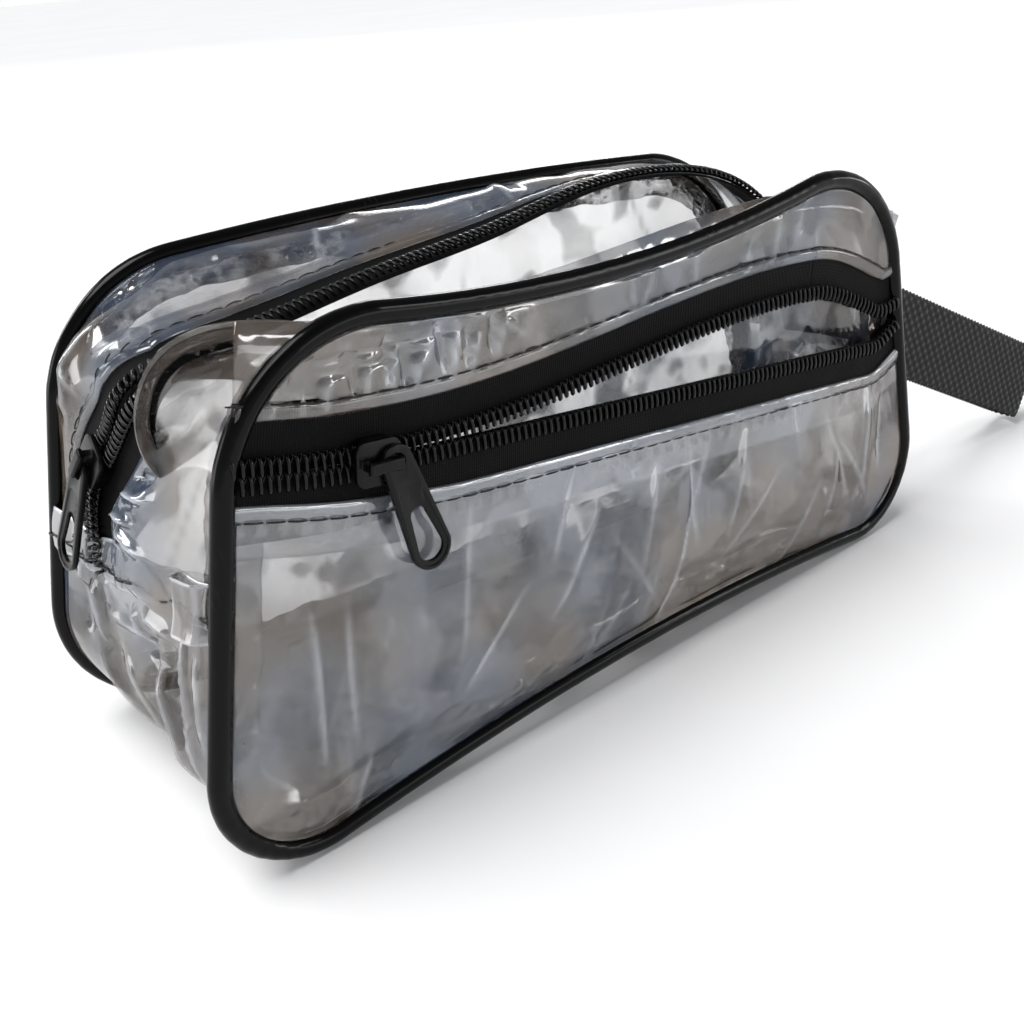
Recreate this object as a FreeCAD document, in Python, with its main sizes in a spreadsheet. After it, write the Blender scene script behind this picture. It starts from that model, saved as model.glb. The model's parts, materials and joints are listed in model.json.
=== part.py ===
"""Clear makeup bag with a main zip round the top, a zipped front pocket and a wrist strap.

Millimetres. +X runs along the bag to the strap end, -Y is the pocket side, +Z is up.
The origin is on the surface that the bag stands on, at mid length and mid depth.
"""
import FreeCAD, Part
import math
import os

from FreeCAD import Matrix, Placement, Rotation, Vector

os.makedirs("parts", exist_ok=True)
doc = FreeCAD.newDocument("makeup_bag")

# ---------------------------------------------------------------- driving dimensions
SIZES = {
    # the body of the bag
    "bag_length": 230.0,
    "bag_height": 110.0,
    "bag_depth": 67.5,
    "end_lean": 0.217,
    "back_turn": 6.7,
    "top_corner": 32.5,
    "front_base_corner": 21.0,
    "back_base_corner": 26.5,
    "mid_base_corner": 30.0,
    "front_top_sag": 5.7,
    "front_base_lift": 5.3,
    "hem_height": 58.0,
    # sheet, piping and tape
    "vinyl": 0.5,
    "piping_diameter": 5.0,
    "flange_reach": 9.0,
    "flange_thickness": 0.6,
    "seam_gap": 0.3,
    "layer_gap": 0.1,
    "divider_depth": 6.5,
    "divider_margin": 0.7,
    "divider_inset": 19.0,
    "tape_width": 13.0,
    "tape_thickness": 0.4,
    "tape_shown": 10.0,
    "coil_width": 2.6,
    "coil_height": 2.0,
    "coil_gap": 1.4,
    # pocket zip: a straight line that falls towards the strap end
    "pocket_zip_rise": 72.0,
    "pocket_zip_slope": 0.12,
    "pocket_slider_place": -70.2,
    "pocket_mouth_peak": 64.0,
    "pocket_mouth_end": 118.0,
    "pocket_mouth_open": 15.0,
    "pocket_end_rise": 7.0,
    "pocket_end_start": 91.0,
    "pocket_end_reach": 17.0,
    "pocket_tab_lean": 15.0,
    # main zip: where its slider stands on the left end
    "main_slider_height": 76.5,
    "main_slider_place": 16.0,
    "main_zip_lean": 0.9,
    "main_straight_run": 22.0,
    "main_tab_lean": 0.4,
    # sliders and pull tabs
    "slider_length": 10.0,
    "slider_width": 9.0,
    "slider_corner": 2.2,
    "plate_thickness": 1.2,
    "running_gap": 0.3,
    "lip_thickness": 0.85,
    "lip_start": 0.9,
    "post_length": 2.2,
    "post_inset": 0.6,
    "post_thickness": 0.8,
    "leg_spacing": 6.2,
    "leg_length": 1.4,
    "bridge_width": 2.4,
    "bridge_opening": 1.9,
    "bridge_round": 0.5,
    "tab_thickness": 1.2,
    "tab_length": 29.0,
    "tab_eye_radius": 1.75,
    "tab_top_radius": 3.4,
    "tab_foot_radius": 4.75,
    "tab_recess": 0.3,
    "tab_rim": 0.8,
    "tab_hole_length": 8.0,
    "tab_hole_top": 1.8,
    "tab_hole_foot": 2.95,
    # wrist strap
    "strap_length": 112.0,
    "strap_width": 25.0,
    "strap_thickness": 1.4,
    "strap_fold_radius": 4.9,
    "strap_root_thickness": 3.0,
    "strap_root_height": 61.0,
    "strap_root_place": -20.0,
    "strap_root_gap": 2.4,
    "strap_seam_reach": 14.0,
    "strap_fall": 26.0,
}
sheet = doc.addObject("Spreadsheet::Sheet", "Sizes")
for row, (name, value) in enumerate(SIZES.items(), start=1):
    sheet.set(f"A{row}", name.replace("_", " "))
    sheet.set(f"B{row}", str(value))
    sheet.setAlias(f"B{row}", name)
doc.recompute()


def size(name):
    """A driving dimension, read back from the sheet."""
    return float(sheet.get(name))


PIPE_RADIUS = size("piping_diameter") / 2
FRONT_Y = -size("bag_depth") / 2
BASE_Z = PIPE_RADIUS
TOP_Z = size("bag_height") - PIPE_RADIUS
SIDE_LEAN = size("end_lean")
LEAN_ANGLE = math.atan(SIDE_LEAN)
CORNER_LOSS = size("front_base_corner") * (1 / math.cos(LEAN_ANGLE) + SIDE_LEAN - 1)
HALF_BASE = size("bag_length") / 2 - PIPE_RADIUS + CORNER_LOSS
SEAM = PIPE_RADIUS + size("seam_gap")
LAYER_GAP = size("layer_gap")
CUT_PAST = 1.0
BEYOND = 200.0


def half_width(height):
    """Half the length of the bag at a height, to the middle of the piping on a straight end."""
    return HALF_BASE - SIDE_LEAN * (height - BASE_Z)


# ---------------------------------------------------------------- outlines in the XZ plane
def flat(x, z):
    return Vector(x, 0, z)


def arc(centre, radius, start, end):
    """An arc in the XZ plane between two angles, in radians from +X towards +Z."""
    marks = [start, (start + end) / 2, end]
    points = [centre + Vector(radius * math.cos(a), 0, radius * math.sin(a)) for a in marks]
    return Part.Arc(*points).toShape()


def span(reach, height, radius, bow, inset, side):
    """The top (side 1) or base (side -1) of an outline, between its two corner arcs.

    bow is how far the middle dips inwards. Returns the corner angle and the middle edge.
    """
    if bow == 0:
        left = flat(-reach, height - side * inset)
        right = flat(reach, height - side * inset)
        return math.pi / 2, Part.LineSegment(left, right).toShape()
    centres_apart = (reach**2 + bow**2) / (2 * bow)
    bow_radius = centres_apart - radius + inset
    centre = flat(0, height + side * (centres_apart - radius - bow))
    swing = math.asin(reach / centres_apart)
    middle = -side * math.pi / 2
    edge = arc(centre, bow_radius, middle - side * swing, middle + side * swing)
    return math.pi / 2 + swing, edge


def upper_path(z_from, radius, sag=0.0, inset=0.0):
    """Up the left end, over the top and down the right end, from and to a height."""
    corner_z = TOP_Z - radius
    reach = half_width(corner_z) - radius / math.cos(LEAN_ANGLE)
    turn, top = span(reach, TOP_Z, radius, sag, inset, 1)
    small = radius - inset
    right_arc = arc(flat(reach, corner_z), small, turn, LEAN_ANGLE)
    left_arc = arc(flat(-reach, corner_z), small, math.pi - LEAN_ANGLE, math.pi - turn)
    foot = half_width(z_from) - inset / math.cos(LEAN_ANGLE)
    left = Part.LineSegment(flat(-foot, z_from), left_arc.firstVertex().Point).toShape()
    right = Part.LineSegment(right_arc.lastVertex().Point, flat(foot, z_from)).toShape()
    return [left, left_arc, top, right_arc, right]


def lower_path(z_from, radius, lift=0.0, inset=0.0, base=BASE_Z):
    """Down the right end, along the base and up the left end, from and to a height."""
    corner_z = base + radius
    reach = half_width(corner_z) - radius / math.cos(LEAN_ANGLE)
    turn, bottom = span(reach, base, radius, lift, inset, -1)
    small = radius - inset
    right_arc = arc(flat(reach, corner_z), small, LEAN_ANGLE, -turn)
    left_arc = arc(flat(-reach, corner_z), small, math.pi + turn, math.pi - LEAN_ANGLE)
    head = half_width(z_from) - inset / math.cos(LEAN_ANGLE)
    right = Part.LineSegment(flat(head, z_from), right_arc.firstVertex().Point).toShape()
    left = Part.LineSegment(left_arc.lastVertex().Point, flat(-head, z_from)).toShape()
    return [right, right_arc, bottom, left_arc, left]


def outline(which, inset=0.0):
    """The whole closed outline of the front or the back, in the XZ plane."""
    waist = size("bag_height") / 2
    top = size("top_corner")
    if which == "front":
        edges = upper_path(waist, top, size("front_top_sag"), inset)
        edges += lower_path(waist, size("front_base_corner"), size("front_base_lift"), inset)
    else:
        edges = upper_path(waist, top, 0, inset)
        edges += lower_path(waist, size("back_base_corner"), 0, inset)
    return Part.Wire(Part.__sortEdges__(edges))


def at_front(shape, forward=0.0):
    """Puts an XZ shape in the front plane, or a distance behind it."""
    moved = shape.copy()
    moved.translate(Vector(0, FRONT_Y + forward, 0))
    return moved


def at_back(shape, forward=0.0):
    """Puts an XZ shape in the back plane, which is turned a little about the upright."""
    moved = shape.copy()
    moved.translate(Vector(0, forward, 0))
    moved.rotate(Vector(0, 0, 0), Vector(0, 0, 1), -size("back_turn"))
    moved.translate(Vector(0, -FRONT_Y, 0))
    return moved


def slab(wire, start, thickness):
    """A flat sheet inside an outline, from start, thick towards +Y."""
    face = Part.Face(wire)
    face.translate(Vector(0, start, 0))
    return face.extrude(Vector(0, thickness, 0))


def add(label, shape):
    """Puts a finished solid in the document as a sub-part."""
    feature = doc.addObject("Part::Feature", label)
    feature.Shape = shape
    feature.Label = label
    return feature


# ---------------------------------------------------------------- piping
def piping(which):
    """A round bead along the outline with a flat flange that is sewn into the seam."""
    spine = outline(which)
    start = spine.Edges[0].firstVertex().Point
    along = spine.Edges[0].tangentAt(spine.Edges[0].FirstParameter)
    ring = Part.Wire(Part.Circle(start, along, PIPE_RADIUS).toShape())
    bead = spine.makePipeShell([ring], True, False)
    outer = slab(outline(which, PIPE_RADIUS - size("seam_gap")), 0, size("flange_thickness"))
    thick = size("flange_thickness") + 2 * CUT_PAST
    inner = slab(outline(which, size("flange_reach")), -CUT_PAST, thick)
    return bead.fuse(outer.cut(inner)).removeSplitter()


add("front_piping", at_front(piping("front")))
add("back_piping", at_back(piping("back")))

# ---------------------------------------------------------------- flat panels
VINYL = size("vinyl")
TAPE = size("tape_thickness")
TAPE_FRONT = LAYER_GAP + TAPE
PANEL_FRONT = TAPE_FRONT + LAYER_GAP + VINYL
BEHIND_FLANGE = size("flange_thickness") + LAYER_GAP
add("back_panel", at_back(slab(outline("back", SEAM), BEHIND_FLANGE, VINYL)))


def divider():
    """The wall between pocket and main space: a shallow tray that is open to the front."""
    depth = size("divider_depth")
    rim = outline("front", SEAM + size("divider_margin"))
    floor = outline("front", size("divider_inset"))
    floor.translate(Vector(0, depth, 0))
    bowl = Part.makeLoft([rim, floor], True, True)
    hollow = bowl.copy()
    hollow.translate(Vector(0, -VINYL, 0))
    return bowl.cut(hollow)


add("divider_panel", at_front(divider(), BEHIND_FLANGE))


def smooth(ratio):
    """0 to 1 with level ends."""
    ratio = min(max(ratio, 0), 1)
    return ratio * ratio * (3 - 2 * ratio)


def zip_height(x):
    """Height of the pocket zip's closed line, which turns up a little at the strap end."""
    turned_up = smooth((x - size("pocket_end_start")) / size("pocket_end_reach"))
    straight = size("pocket_zip_rise") - size("pocket_zip_slope") * x
    return straight + turned_up * size("pocket_end_rise")


MOUTH_START = size("pocket_slider_place") + size("slider_length") / 2 + 1
MOUTH_PEAK = size("pocket_mouth_peak")


def mouth_bow(x):
    """How far the upper half of the pocket zip stands off its closed line."""
    if x < MOUTH_PEAK:
        ratio = (x - MOUTH_START) / (MOUTH_PEAK - MOUTH_START)
    else:
        ratio = (size("pocket_mouth_end") - x) / (size("pocket_mouth_end") - MOUTH_PEAK)
    return size("pocket_mouth_open") * smooth(ratio)


LINE_LENGTH = math.hypot(1, size("pocket_zip_slope"))


def zip_band(near, far, bowed, front, thickness, margin):
    """A band along the pocket zip between two distances from its line, up or down."""
    reach = 130.0
    steps = 104
    rails = []
    for offset in (near, far):
        rail = []
        for step in range(steps + 1):
            x = -reach + 2 * reach * step / steps
            bow = mouth_bow(x) if bowed else 0
            rail.append(Vector(x, 0, zip_height(x) + bow + offset * LINE_LENGTH))
        rails.append(rail)
    loop = rails[0] + rails[1][::-1] + [rails[0][0]]
    band = slab(Part.makePolygon(loop), -front, thickness)
    return band.common(slab(outline("front", margin), -BEYOND, 2 * BEYOND)).removeSplitter()


HALF_GAP = size("coil_gap") / 2
COIL_BACK = TAPE_FRONT + LAYER_GAP
COIL_FRONT = COIL_BACK + size("coil_height")
SHOWN = size("tape_shown")
add("pocket_lower_panel", at_front(zip_band(-SHOWN, -BEYOND, False, PANEL_FRONT, VINYL, SEAM)))
add("pocket_upper_panel", at_front(zip_band(SHOWN, BEYOND, True, PANEL_FRONT, VINYL, SEAM)))
for label, side, bowed in (("lower", -1, False), ("upper", 1, True)):
    tape = zip_band(side * HALF_GAP, side * size("tape_width"), bowed, TAPE_FRONT, TAPE, SEAM)
    add(f"pocket_zip_tape_{label}", at_front(tape))
    far = side * (HALF_GAP + size("coil_width"))
    coil = zip_band(side * HALF_GAP, far, bowed, COIL_FRONT, size("coil_height"), SEAM)
    add(f"pocket_zip_coil_{label}", at_front(coil))


# ---------------------------------------------------------------- lower gusset
def gusset_section(radius, lift, base):
    """A thin closed U: the ends and the base of the gusset at one depth."""
    hem = size("hem_height")
    outer = lower_path(hem, radius, lift, 0, base)
    inner = lower_path(hem, radius, lift, VINYL, base)
    right = Part.LineSegment(outer[0].firstVertex().Point, inner[0].firstVertex().Point)
    left = Part.LineSegment(outer[-1].lastVertex().Point, inner[-1].lastVertex().Point)
    edges = outer + [left.toShape()] + inner[::-1] + [right.toShape()]
    return Part.Wire(Part.__sortEdges__(edges))


def lower_gusset():
    """Left end, base and right end in one strip, flat on the ground across its middle."""
    middle = gusset_section(size("mid_base_corner"), 0, 0)
    level = size("bag_depth") / 5
    stations = [
        at_front(gusset_section(size("front_base_corner"), size("front_base_lift"), BASE_Z), SEAM),
        middle.translated(Vector(0, -level, 0)),
        middle.translated(Vector(0, level / 2, 0)),
        at_back(gusset_section(size("back_base_corner"), 0, BASE_Z), -SEAM),
    ]
    return Part.makeLoft(stations, True, True)


add("lower_gusset", lower_gusset())

# ---------------------------------------------------------------- main zip and top gusset
# Each half of the main zip runs straight past its slider and then along a free line.
# The back half stays near the top; the front half hangs down inside the open mouth.
ZIP_UP = Vector(SIDE_LEAN, -size("main_zip_lean"), 1).normalize()
ZIP_OUT = Vector(-1, 0, SIDE_LEAN).normalize()
ZIP_ACROSS = ZIP_OUT.cross(ZIP_UP)
SLIDER_Z = size("main_slider_height")
SLIDER_AT = Vector(-half_width(SLIDER_Z), size("main_slider_place"), SLIDER_Z)
HEM_TOP = size("hem_height") + size("seam_gap")
BACK_LINE = [
    Vector(-92, -1, 97.5), Vector(-84, 0, 98), Vector(-74, 1, 98.5), Vector(-41, 0, 103),
    Vector(-8, 0, 106), Vector(16, -1, 110), Vector(40, -1, 110.5), Vector(58, -2, 108),
    Vector(77, -3, 100), Vector(91, -4, 86),
]
FRONT_LINE = [
    Vector(-93, -9, 96.5), Vector(-87, -14.5, 97.5), Vector(-74, -16.5, 92), Vector(-54, -16.5, 83),
    Vector(-15, -16, 76), Vector(15, -16, 76), Vector(44, -15, 82), Vector(64, -12, 94),
    Vector(79, -9, 97), Vector(91, -8, 86),
]


def coil_line(side, free_points):
    """Points along the middle of one half of the chain, from the left hem to the right."""
    offset = ZIP_ACROSS * (side * (HALF_GAP + size("coil_width") / 2))
    foot = Vector(-half_width(HEM_TOP), size("main_slider_place") + 3, HEM_TOP) + offset
    below = SLIDER_AT - ZIP_UP * (size("slider_length") / 2 + 1) + offset
    above = SLIDER_AT + ZIP_UP * size("main_straight_run") + offset
    last = Vector(half_width(HEM_TOP), -8 + 2 * side, HEM_TOP)
    curve = Part.BSplineCurve()
    curve.interpolate([above] + free_points + [last])
    free = curve.discretize(Number=26)
    return [foot, below, (below + above) / 2] + free


def piping_line(which, count):
    """As many points along the upper piping, from the left hem to the right."""
    sag = size("front_top_sag") if which == "front" else 0
    wire = Part.Wire(upper_path(HEM_TOP, size("top_corner"), sag))
    wire = at_front(wire, SEAM) if which == "front" else at_back(wire, -SEAM)
    points = wire.discretize(Number=count)
    return points if points[0].x < 0 else points[::-1]


def stations(which, side, free_points):
    """Chain point, piping point, outward direction and direction across, in step."""
    chain = coil_line(side, free_points)
    edge = piping_line(which, len(chain))
    result = []
    for index, point in enumerate(chain):
        before = chain[max(index - 1, 0)]
        after = chain[min(index + 1, len(chain) - 1)]
        along = (after - before).normalize()
        if index in (1, 2, 3):
            along = ZIP_UP
        out = along.cross(edge[index] - point) * side
        out.normalize()
        across = out.cross(along) * side
        result.append((point, edge[index], out, across.normalize()))
    return result


def ribbon(rail_a, rail_b, outs, low, high):
    """A thin strip between two rails, from a height low to high along the out direction."""
    sections = []
    for a, b, out in zip(rail_a, rail_b, outs):
        loop = [a + out * low, b + out * low, b + out * high, a + out * high, a + out * low]
        sections.append(Part.makePolygon(loop))
    return Part.makeLoft(sections, True, True)


def zip_half(which, side, free_points):
    """The clear strip, the tape and the coil of one half of the main zip."""
    rows = stations(which, side, free_points)
    outs = [row[2] for row in rows]
    half_coil = size("coil_width") / 2

    def rail(distance):
        return [point + across * distance for point, edge, out, across in rows]

    strip_edge = []
    for point, edge, out, across in rows:
        shown = min(SHOWN - HALF_GAP, (edge - point).Length / 2)
        strip_edge.append(point + across * shown)
    piped = [row[1] for row in rows]
    tape_end = [place - row[3] * size("seam_gap") for place, row in zip(strip_edge, rows)]
    add(f"top_gusset_{which}", ribbon(strip_edge, piped, outs, COIL_BACK, PANEL_FRONT))
    add(f"main_zip_tape_{which}", ribbon(rail(-half_coil), tape_end, outs, LAYER_GAP, TAPE_FRONT))
    add(f"main_zip_coil_{which}",
        ribbon(rail(-half_coil), rail(half_coil), outs, COIL_BACK, COIL_FRONT))


zip_half("back", 1, BACK_LINE)
zip_half("front", -1, FRONT_LINE)


# ---------------------------------------------------------------- sliders and pull tabs
# Own frame of a slider: X along the chain towards the open mouth, Z out of the bag,
# origin on the chain's line where the tape lies.
TOP_PLATE = f"({COIL_FRONT} + Sizes.running_gap)"
BRIDGE_FOOT = f"({TOP_PLATE} + Sizes.plate_thickness)"
BRIDGE_TOP = f"({BRIDGE_FOOT} + Sizes.bridge_opening)"
REAR_PLATE = "(-Sizes.plate_thickness - Sizes.running_gap)"
SINK = 0.3


def block(name, **sizes):
    """A box whose sizes and corner are expressions on the sheet."""
    box = doc.addObject("Part::Box", name)
    for key in ("Length", "Width", "Height"):
        box.setExpression(key, sizes[key])
    for axis in ("x", "y", "z"):
        box.setExpression(f".Placement.Base.{axis}", sizes[axis])
    return box


def rod(name, radius, height, x, z):
    """An upright cylinder whose sizes and place are expressions on the sheet."""
    cylinder = doc.addObject("Part::Cylinder", name)
    cylinder.setExpression("Radius", radius)
    cylinder.setExpression("Height", height)
    cylinder.setExpression(".Placement.Base.x", x)
    cylinder.setExpression(".Placement.Base.z", z)
    return cylinder


def rounded(base, radius, chosen):
    """Fillets the edges of an object that the test picks out."""
    doc.recompute()
    fillet = doc.addObject("Part::Fillet", f"{base.Name}_round")
    fillet.Base = base
    picked = [i + 1 for i, edge in enumerate(base.Shape.Edges) if chosen(edge)]
    fillet.Edges = [(i, radius, radius) for i in picked]
    return fillet


def runs_along(edge, axis):
    """Whether an edge is straight and runs along an axis."""
    direction = edge.lastVertex().Point - edge.firstVertex().Point
    return direction.Length > 0.1 and abs(direction.normalize().dot(axis)) > 0.999


def slider(label, placement):
    """Two plates joined by a post, lips that hold the coils, and a bridge for the tab."""
    upright = Vector(0, 0, 1)
    whole_length = "Sizes.slider_length"
    whole_width = "Sizes.slider_width"
    plate = "Sizes.plate_thickness"
    pieces = []
    for name, height in (("front_plate", TOP_PLATE), ("rear_plate", REAR_PLATE)):
        flat_plate = block(f"{label}_{name}", Length=whole_length, Width=whole_width, Height=plate,
                           x=f"-{whole_length} / 2", y=f"-{whole_width} / 2", z=height)
        corners = rounded(flat_plate, size("slider_corner"), lambda edge: runs_along(edge, upright))
        pieces.append(corners)
    for name, place in (("left_lip", f"{whole_width} / 2 - Sizes.lip_thickness"),
                        ("right_lip", f"-{whole_width} / 2")):
        pieces.append(block(f"{label}_{name}", Length=f"{whole_length} - 2 * Sizes.slider_corner",
                            Width="Sizes.lip_thickness",
                            Height=f"{TOP_PLATE} - Sizes.lip_start + {SINK}",
                            x=f"-{whole_length} / 2 + Sizes.slider_corner", y=place,
                            z="Sizes.lip_start"))
    pieces.append(block(f"{label}_post", Length="Sizes.post_length",
                        Width="Sizes.post_thickness", Height=f"{TOP_PLATE} - {REAR_PLATE}",
                        x=f"{whole_length} / 2 - Sizes.post_length - Sizes.post_inset",
                        y="-Sizes.post_thickness / 2", z=f"{REAR_PLATE} + {plate} / 2"))
    for name, place in (("front_leg", 1), ("rear_leg", -1)):
        pieces.append(block(f"{label}_{name}", Length="Sizes.leg_length",
                            Width="Sizes.leg_length", Height=f"Sizes.bridge_opening + 2 * {SINK}",
                            x=f"{place} * Sizes.leg_spacing / 2 - Sizes.leg_length / 2",
                            y="-Sizes.leg_length / 2", z=f"{BRIDGE_FOOT} - {SINK}"))
    span_length = "(Sizes.leg_spacing + Sizes.leg_length)"
    bar = block(f"{label}_bridge", Length=span_length, Width="Sizes.bridge_width", Height=plate,
                x=f"-{span_length} / 2", y="-Sizes.bridge_width / 2", z=BRIDGE_TOP)
    doc.recompute()
    top = bar.Shape.BoundBox.ZMax
    pieces.append(rounded(bar, size("bridge_round"), lambda edge: edge.CenterOfMass.z > top - SINK))
    joined = doc.addObject("Part::MultiFuse", label)
    joined.Shapes = pieces
    joined.Label = label
    joined.Placement = placement
    return joined


TAB_LOW = f"({BRIDGE_FOOT} + (Sizes.bridge_opening - Sizes.tab_thickness) / 2)"
TAB_REACH = "(Sizes.tab_length - Sizes.tab_top_radius - Sizes.tab_foot_radius)"


def drop(name, start_radius, end_radius, start, end, low, height):
    """A flat drop: two round ends joined by straight flanks."""
    flank = doc.addObject("Part::Wedge", f"{name}_flank")
    for key, value in {
        "Ymin": start, "Ymax": end, "Zmin": f"-{start_radius}", "Zmax": start_radius,
        "Z2min": f"-{end_radius}", "Z2max": end_radius, "Xmin": low, "X2min": low,
        "Xmax": f"{low} + {height}", "X2max": f"{low} + {height}",
    }.items():
        flank.setExpression(key, value)
    turn = Matrix(0, 1, 0, 0, 0, 0, 1, 0, 1, 0, 0, 0, 0, 0, 0, 1)
    flank.Placement = Placement(turn)
    parts = [
        flank,
        rod(f"{name}_start", start_radius, height, start, low),
        rod(f"{name}_end", end_radius, height, end, low),
    ]
    joined = doc.addObject("Part::MultiFuse", name)
    joined.Shapes = parts
    joined.Refine = True
    return joined


def pull_tab(label, placement):
    """A drop-shaped tab with an eye round one leg of the bridge, a recess and a finger hole."""
    thickness = "Sizes.tab_thickness"
    body = drop(f"{label}_blank", "Sizes.tab_top_radius", "Sizes.tab_foot_radius",
                "0", TAB_REACH, TAB_LOW, thickness)
    below = f"({TAB_LOW} - {CUT_PAST})"
    through = f"({thickness} + 2 * {CUT_PAST})"
    recess = drop(f"{label}_recess", "(Sizes.tab_top_radius - Sizes.tab_rim)",
                  "(Sizes.tab_foot_radius - Sizes.tab_rim)",
                  "(Sizes.tab_top_radius * 2 + Sizes.tab_rim)", TAB_REACH,
                  f"({TAB_LOW} + {thickness} - Sizes.tab_recess)", f"{CUT_PAST}")
    hole = drop(f"{label}_hole", "Sizes.tab_hole_top", "Sizes.tab_hole_foot",
                f"({TAB_REACH} - Sizes.tab_hole_length)", TAB_REACH, below, through)
    eye = rod(f"{label}_eye", "Sizes.tab_eye_radius", through, "0", below)
    cutters = doc.addObject("Part::MultiFuse", f"{label}_cutters")
    cutters.Shapes = [recess, hole, eye]
    tab = doc.addObject("Part::Cut", label)
    tab.Base = body
    tab.Tool = cutters
    tab.Label = label
    tab.Placement = placement
    return tab


def frame_of(along, out, origin):
    """A placement whose X is along and whose Z is out."""
    across = out.cross(along)
    rows = (along.x, across.x, out.x, origin.x, along.y, across.y, out.y, origin.y,
            along.z, across.z, out.z, origin.z, 0, 0, 0, 1)
    return Placement(Matrix(*rows))


POCKET_ALONG = Vector(1, 0, -size("pocket_zip_slope")).normalize()
POCKET_OUT = Vector(0, -1, 0)
place_x = size("pocket_slider_place")
POCKET_AT = Vector(place_x, FRONT_Y, zip_height(place_x))
LEG = size("leg_spacing") / 2
slider("pocket_slider", frame_of(POCKET_ALONG, POCKET_OUT, POCKET_AT))
slider("main_slider", frame_of(ZIP_UP, ZIP_OUT, SLIDER_AT))
TAB_LEAN = math.radians(size("pocket_tab_lean"))
POCKET_TAB_HANG = Vector(math.sin(TAB_LEAN), 0, -math.cos(TAB_LEAN))
MAIN_TAB_DOWN = Vector(-SIDE_LEAN, size("main_tab_lean"), -1).normalize()
pull_tab("pocket_pull_tab", frame_of(POCKET_TAB_HANG, POCKET_OUT, POCKET_AT + POCKET_ALONG * LEG))
pull_tab("main_pull_tab", frame_of(MAIN_TAB_DOWN, ZIP_OUT, SLIDER_AT - ZIP_UP * LEG))


# ---------------------------------------------------------------- wrist strap
def wrist_strap():
    """Webbing folded into a loop: both ends meet at the root, the fold is at the far end."""
    fold_at = "(Sizes.strap_length - Sizes.strap_fold_radius)"
    outer = drop("strap_outer", "Sizes.strap_root_thickness / 2", "Sizes.strap_fold_radius",
                 "Sizes.strap_root_thickness / 2", fold_at, "0", "Sizes.strap_width")
    inner = drop("strap_inner", "Sizes.layer_gap",
                 "(Sizes.strap_fold_radius - Sizes.strap_thickness)", "Sizes.strap_seam_reach",
                 fold_at, f"-{CUT_PAST}", f"Sizes.strap_width + 2 * {CUT_PAST}")
    loop = doc.addObject("Part::Cut", "strap_loop")
    loop.Base = outer
    loop.Tool = inner
    fall = math.radians(size("strap_fall"))
    along = Vector(math.cos(fall), 0, -math.sin(fall))
    up = Vector(math.sin(fall), 0, math.cos(fall))
    height = size("strap_root_height")
    root = Vector(half_width(height), size("strap_root_place"), height)
    loop.Placement = frame_of(along, up, root - up * (size("strap_width") / 2))
    trim = doc.addObject("Part::Box", "strap_trim")
    trim.Length, trim.Width, trim.Height = BEYOND, BEYOND, BEYOND
    end_out = Vector(1, 0, SIDE_LEAN).normalize()
    end_up = end_out.cross(Vector(0, 1, 0))
    inwards = size("strap_root_gap") - BEYOND
    corner = root + end_out * inwards - (end_up + Vector(0, 1, 0)) * (BEYOND / 2)
    turned = Rotation(Vector(0, 0, 1), end_up)
    trim.Placement = Placement(corner, turned)
    strap = doc.addObject("Part::Cut", "wrist_strap")
    strap.Base = loop
    strap.Tool = trim
    strap.Label = "wrist_strap"
    return root + end_out * size("strap_root_gap"), end_up


STRAP_ROOT, STRAP_AXIS = wrist_strap()

# ---------------------------------------------------------------- checks and files
NODES = [
    "front_piping", "back_piping", "back_panel", "divider_panel", "pocket_lower_panel",
    "pocket_upper_panel", "pocket_zip_tape_lower", "pocket_zip_tape_upper",
    "pocket_zip_coil_lower", "pocket_zip_coil_upper", "lower_gusset", "top_gusset_back",
    "top_gusset_front", "main_zip_tape_back", "main_zip_tape_front", "main_zip_coil_back",
    "main_zip_coil_front", "pocket_slider", "main_slider", "pocket_pull_tab", "main_pull_tab",
    "wrist_strap",
]
doc.recompute()
for item in doc.Objects:
    if "Invalid" in item.State or "Error" in item.State:
        raise RuntimeError(f"{item.Name} failed: {item.State}")
by_label = {item.Label: item for item in doc.Objects}
for node in NODES:
    shape = by_label[node].Shape
    if shape.isNull() or not shape.isValid() or not shape.Solids:
        raise RuntimeError(f"{node} has no valid solid")
    shape.exportStep(f"parts/{node}.step")
    print(node, len(shape.Solids), round(shape.Volume), shape.BoundBox)
print("main slider", SLIDER_AT, "along", ZIP_UP, "out", ZIP_OUT)
print("pocket slider", POCKET_AT, "along", POCKET_ALONG)
print("strap root", STRAP_ROOT, "axis", STRAP_AXIS)
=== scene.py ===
import json
import math

import bmesh
import bpy
import numpy as np
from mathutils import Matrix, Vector, noise


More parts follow.
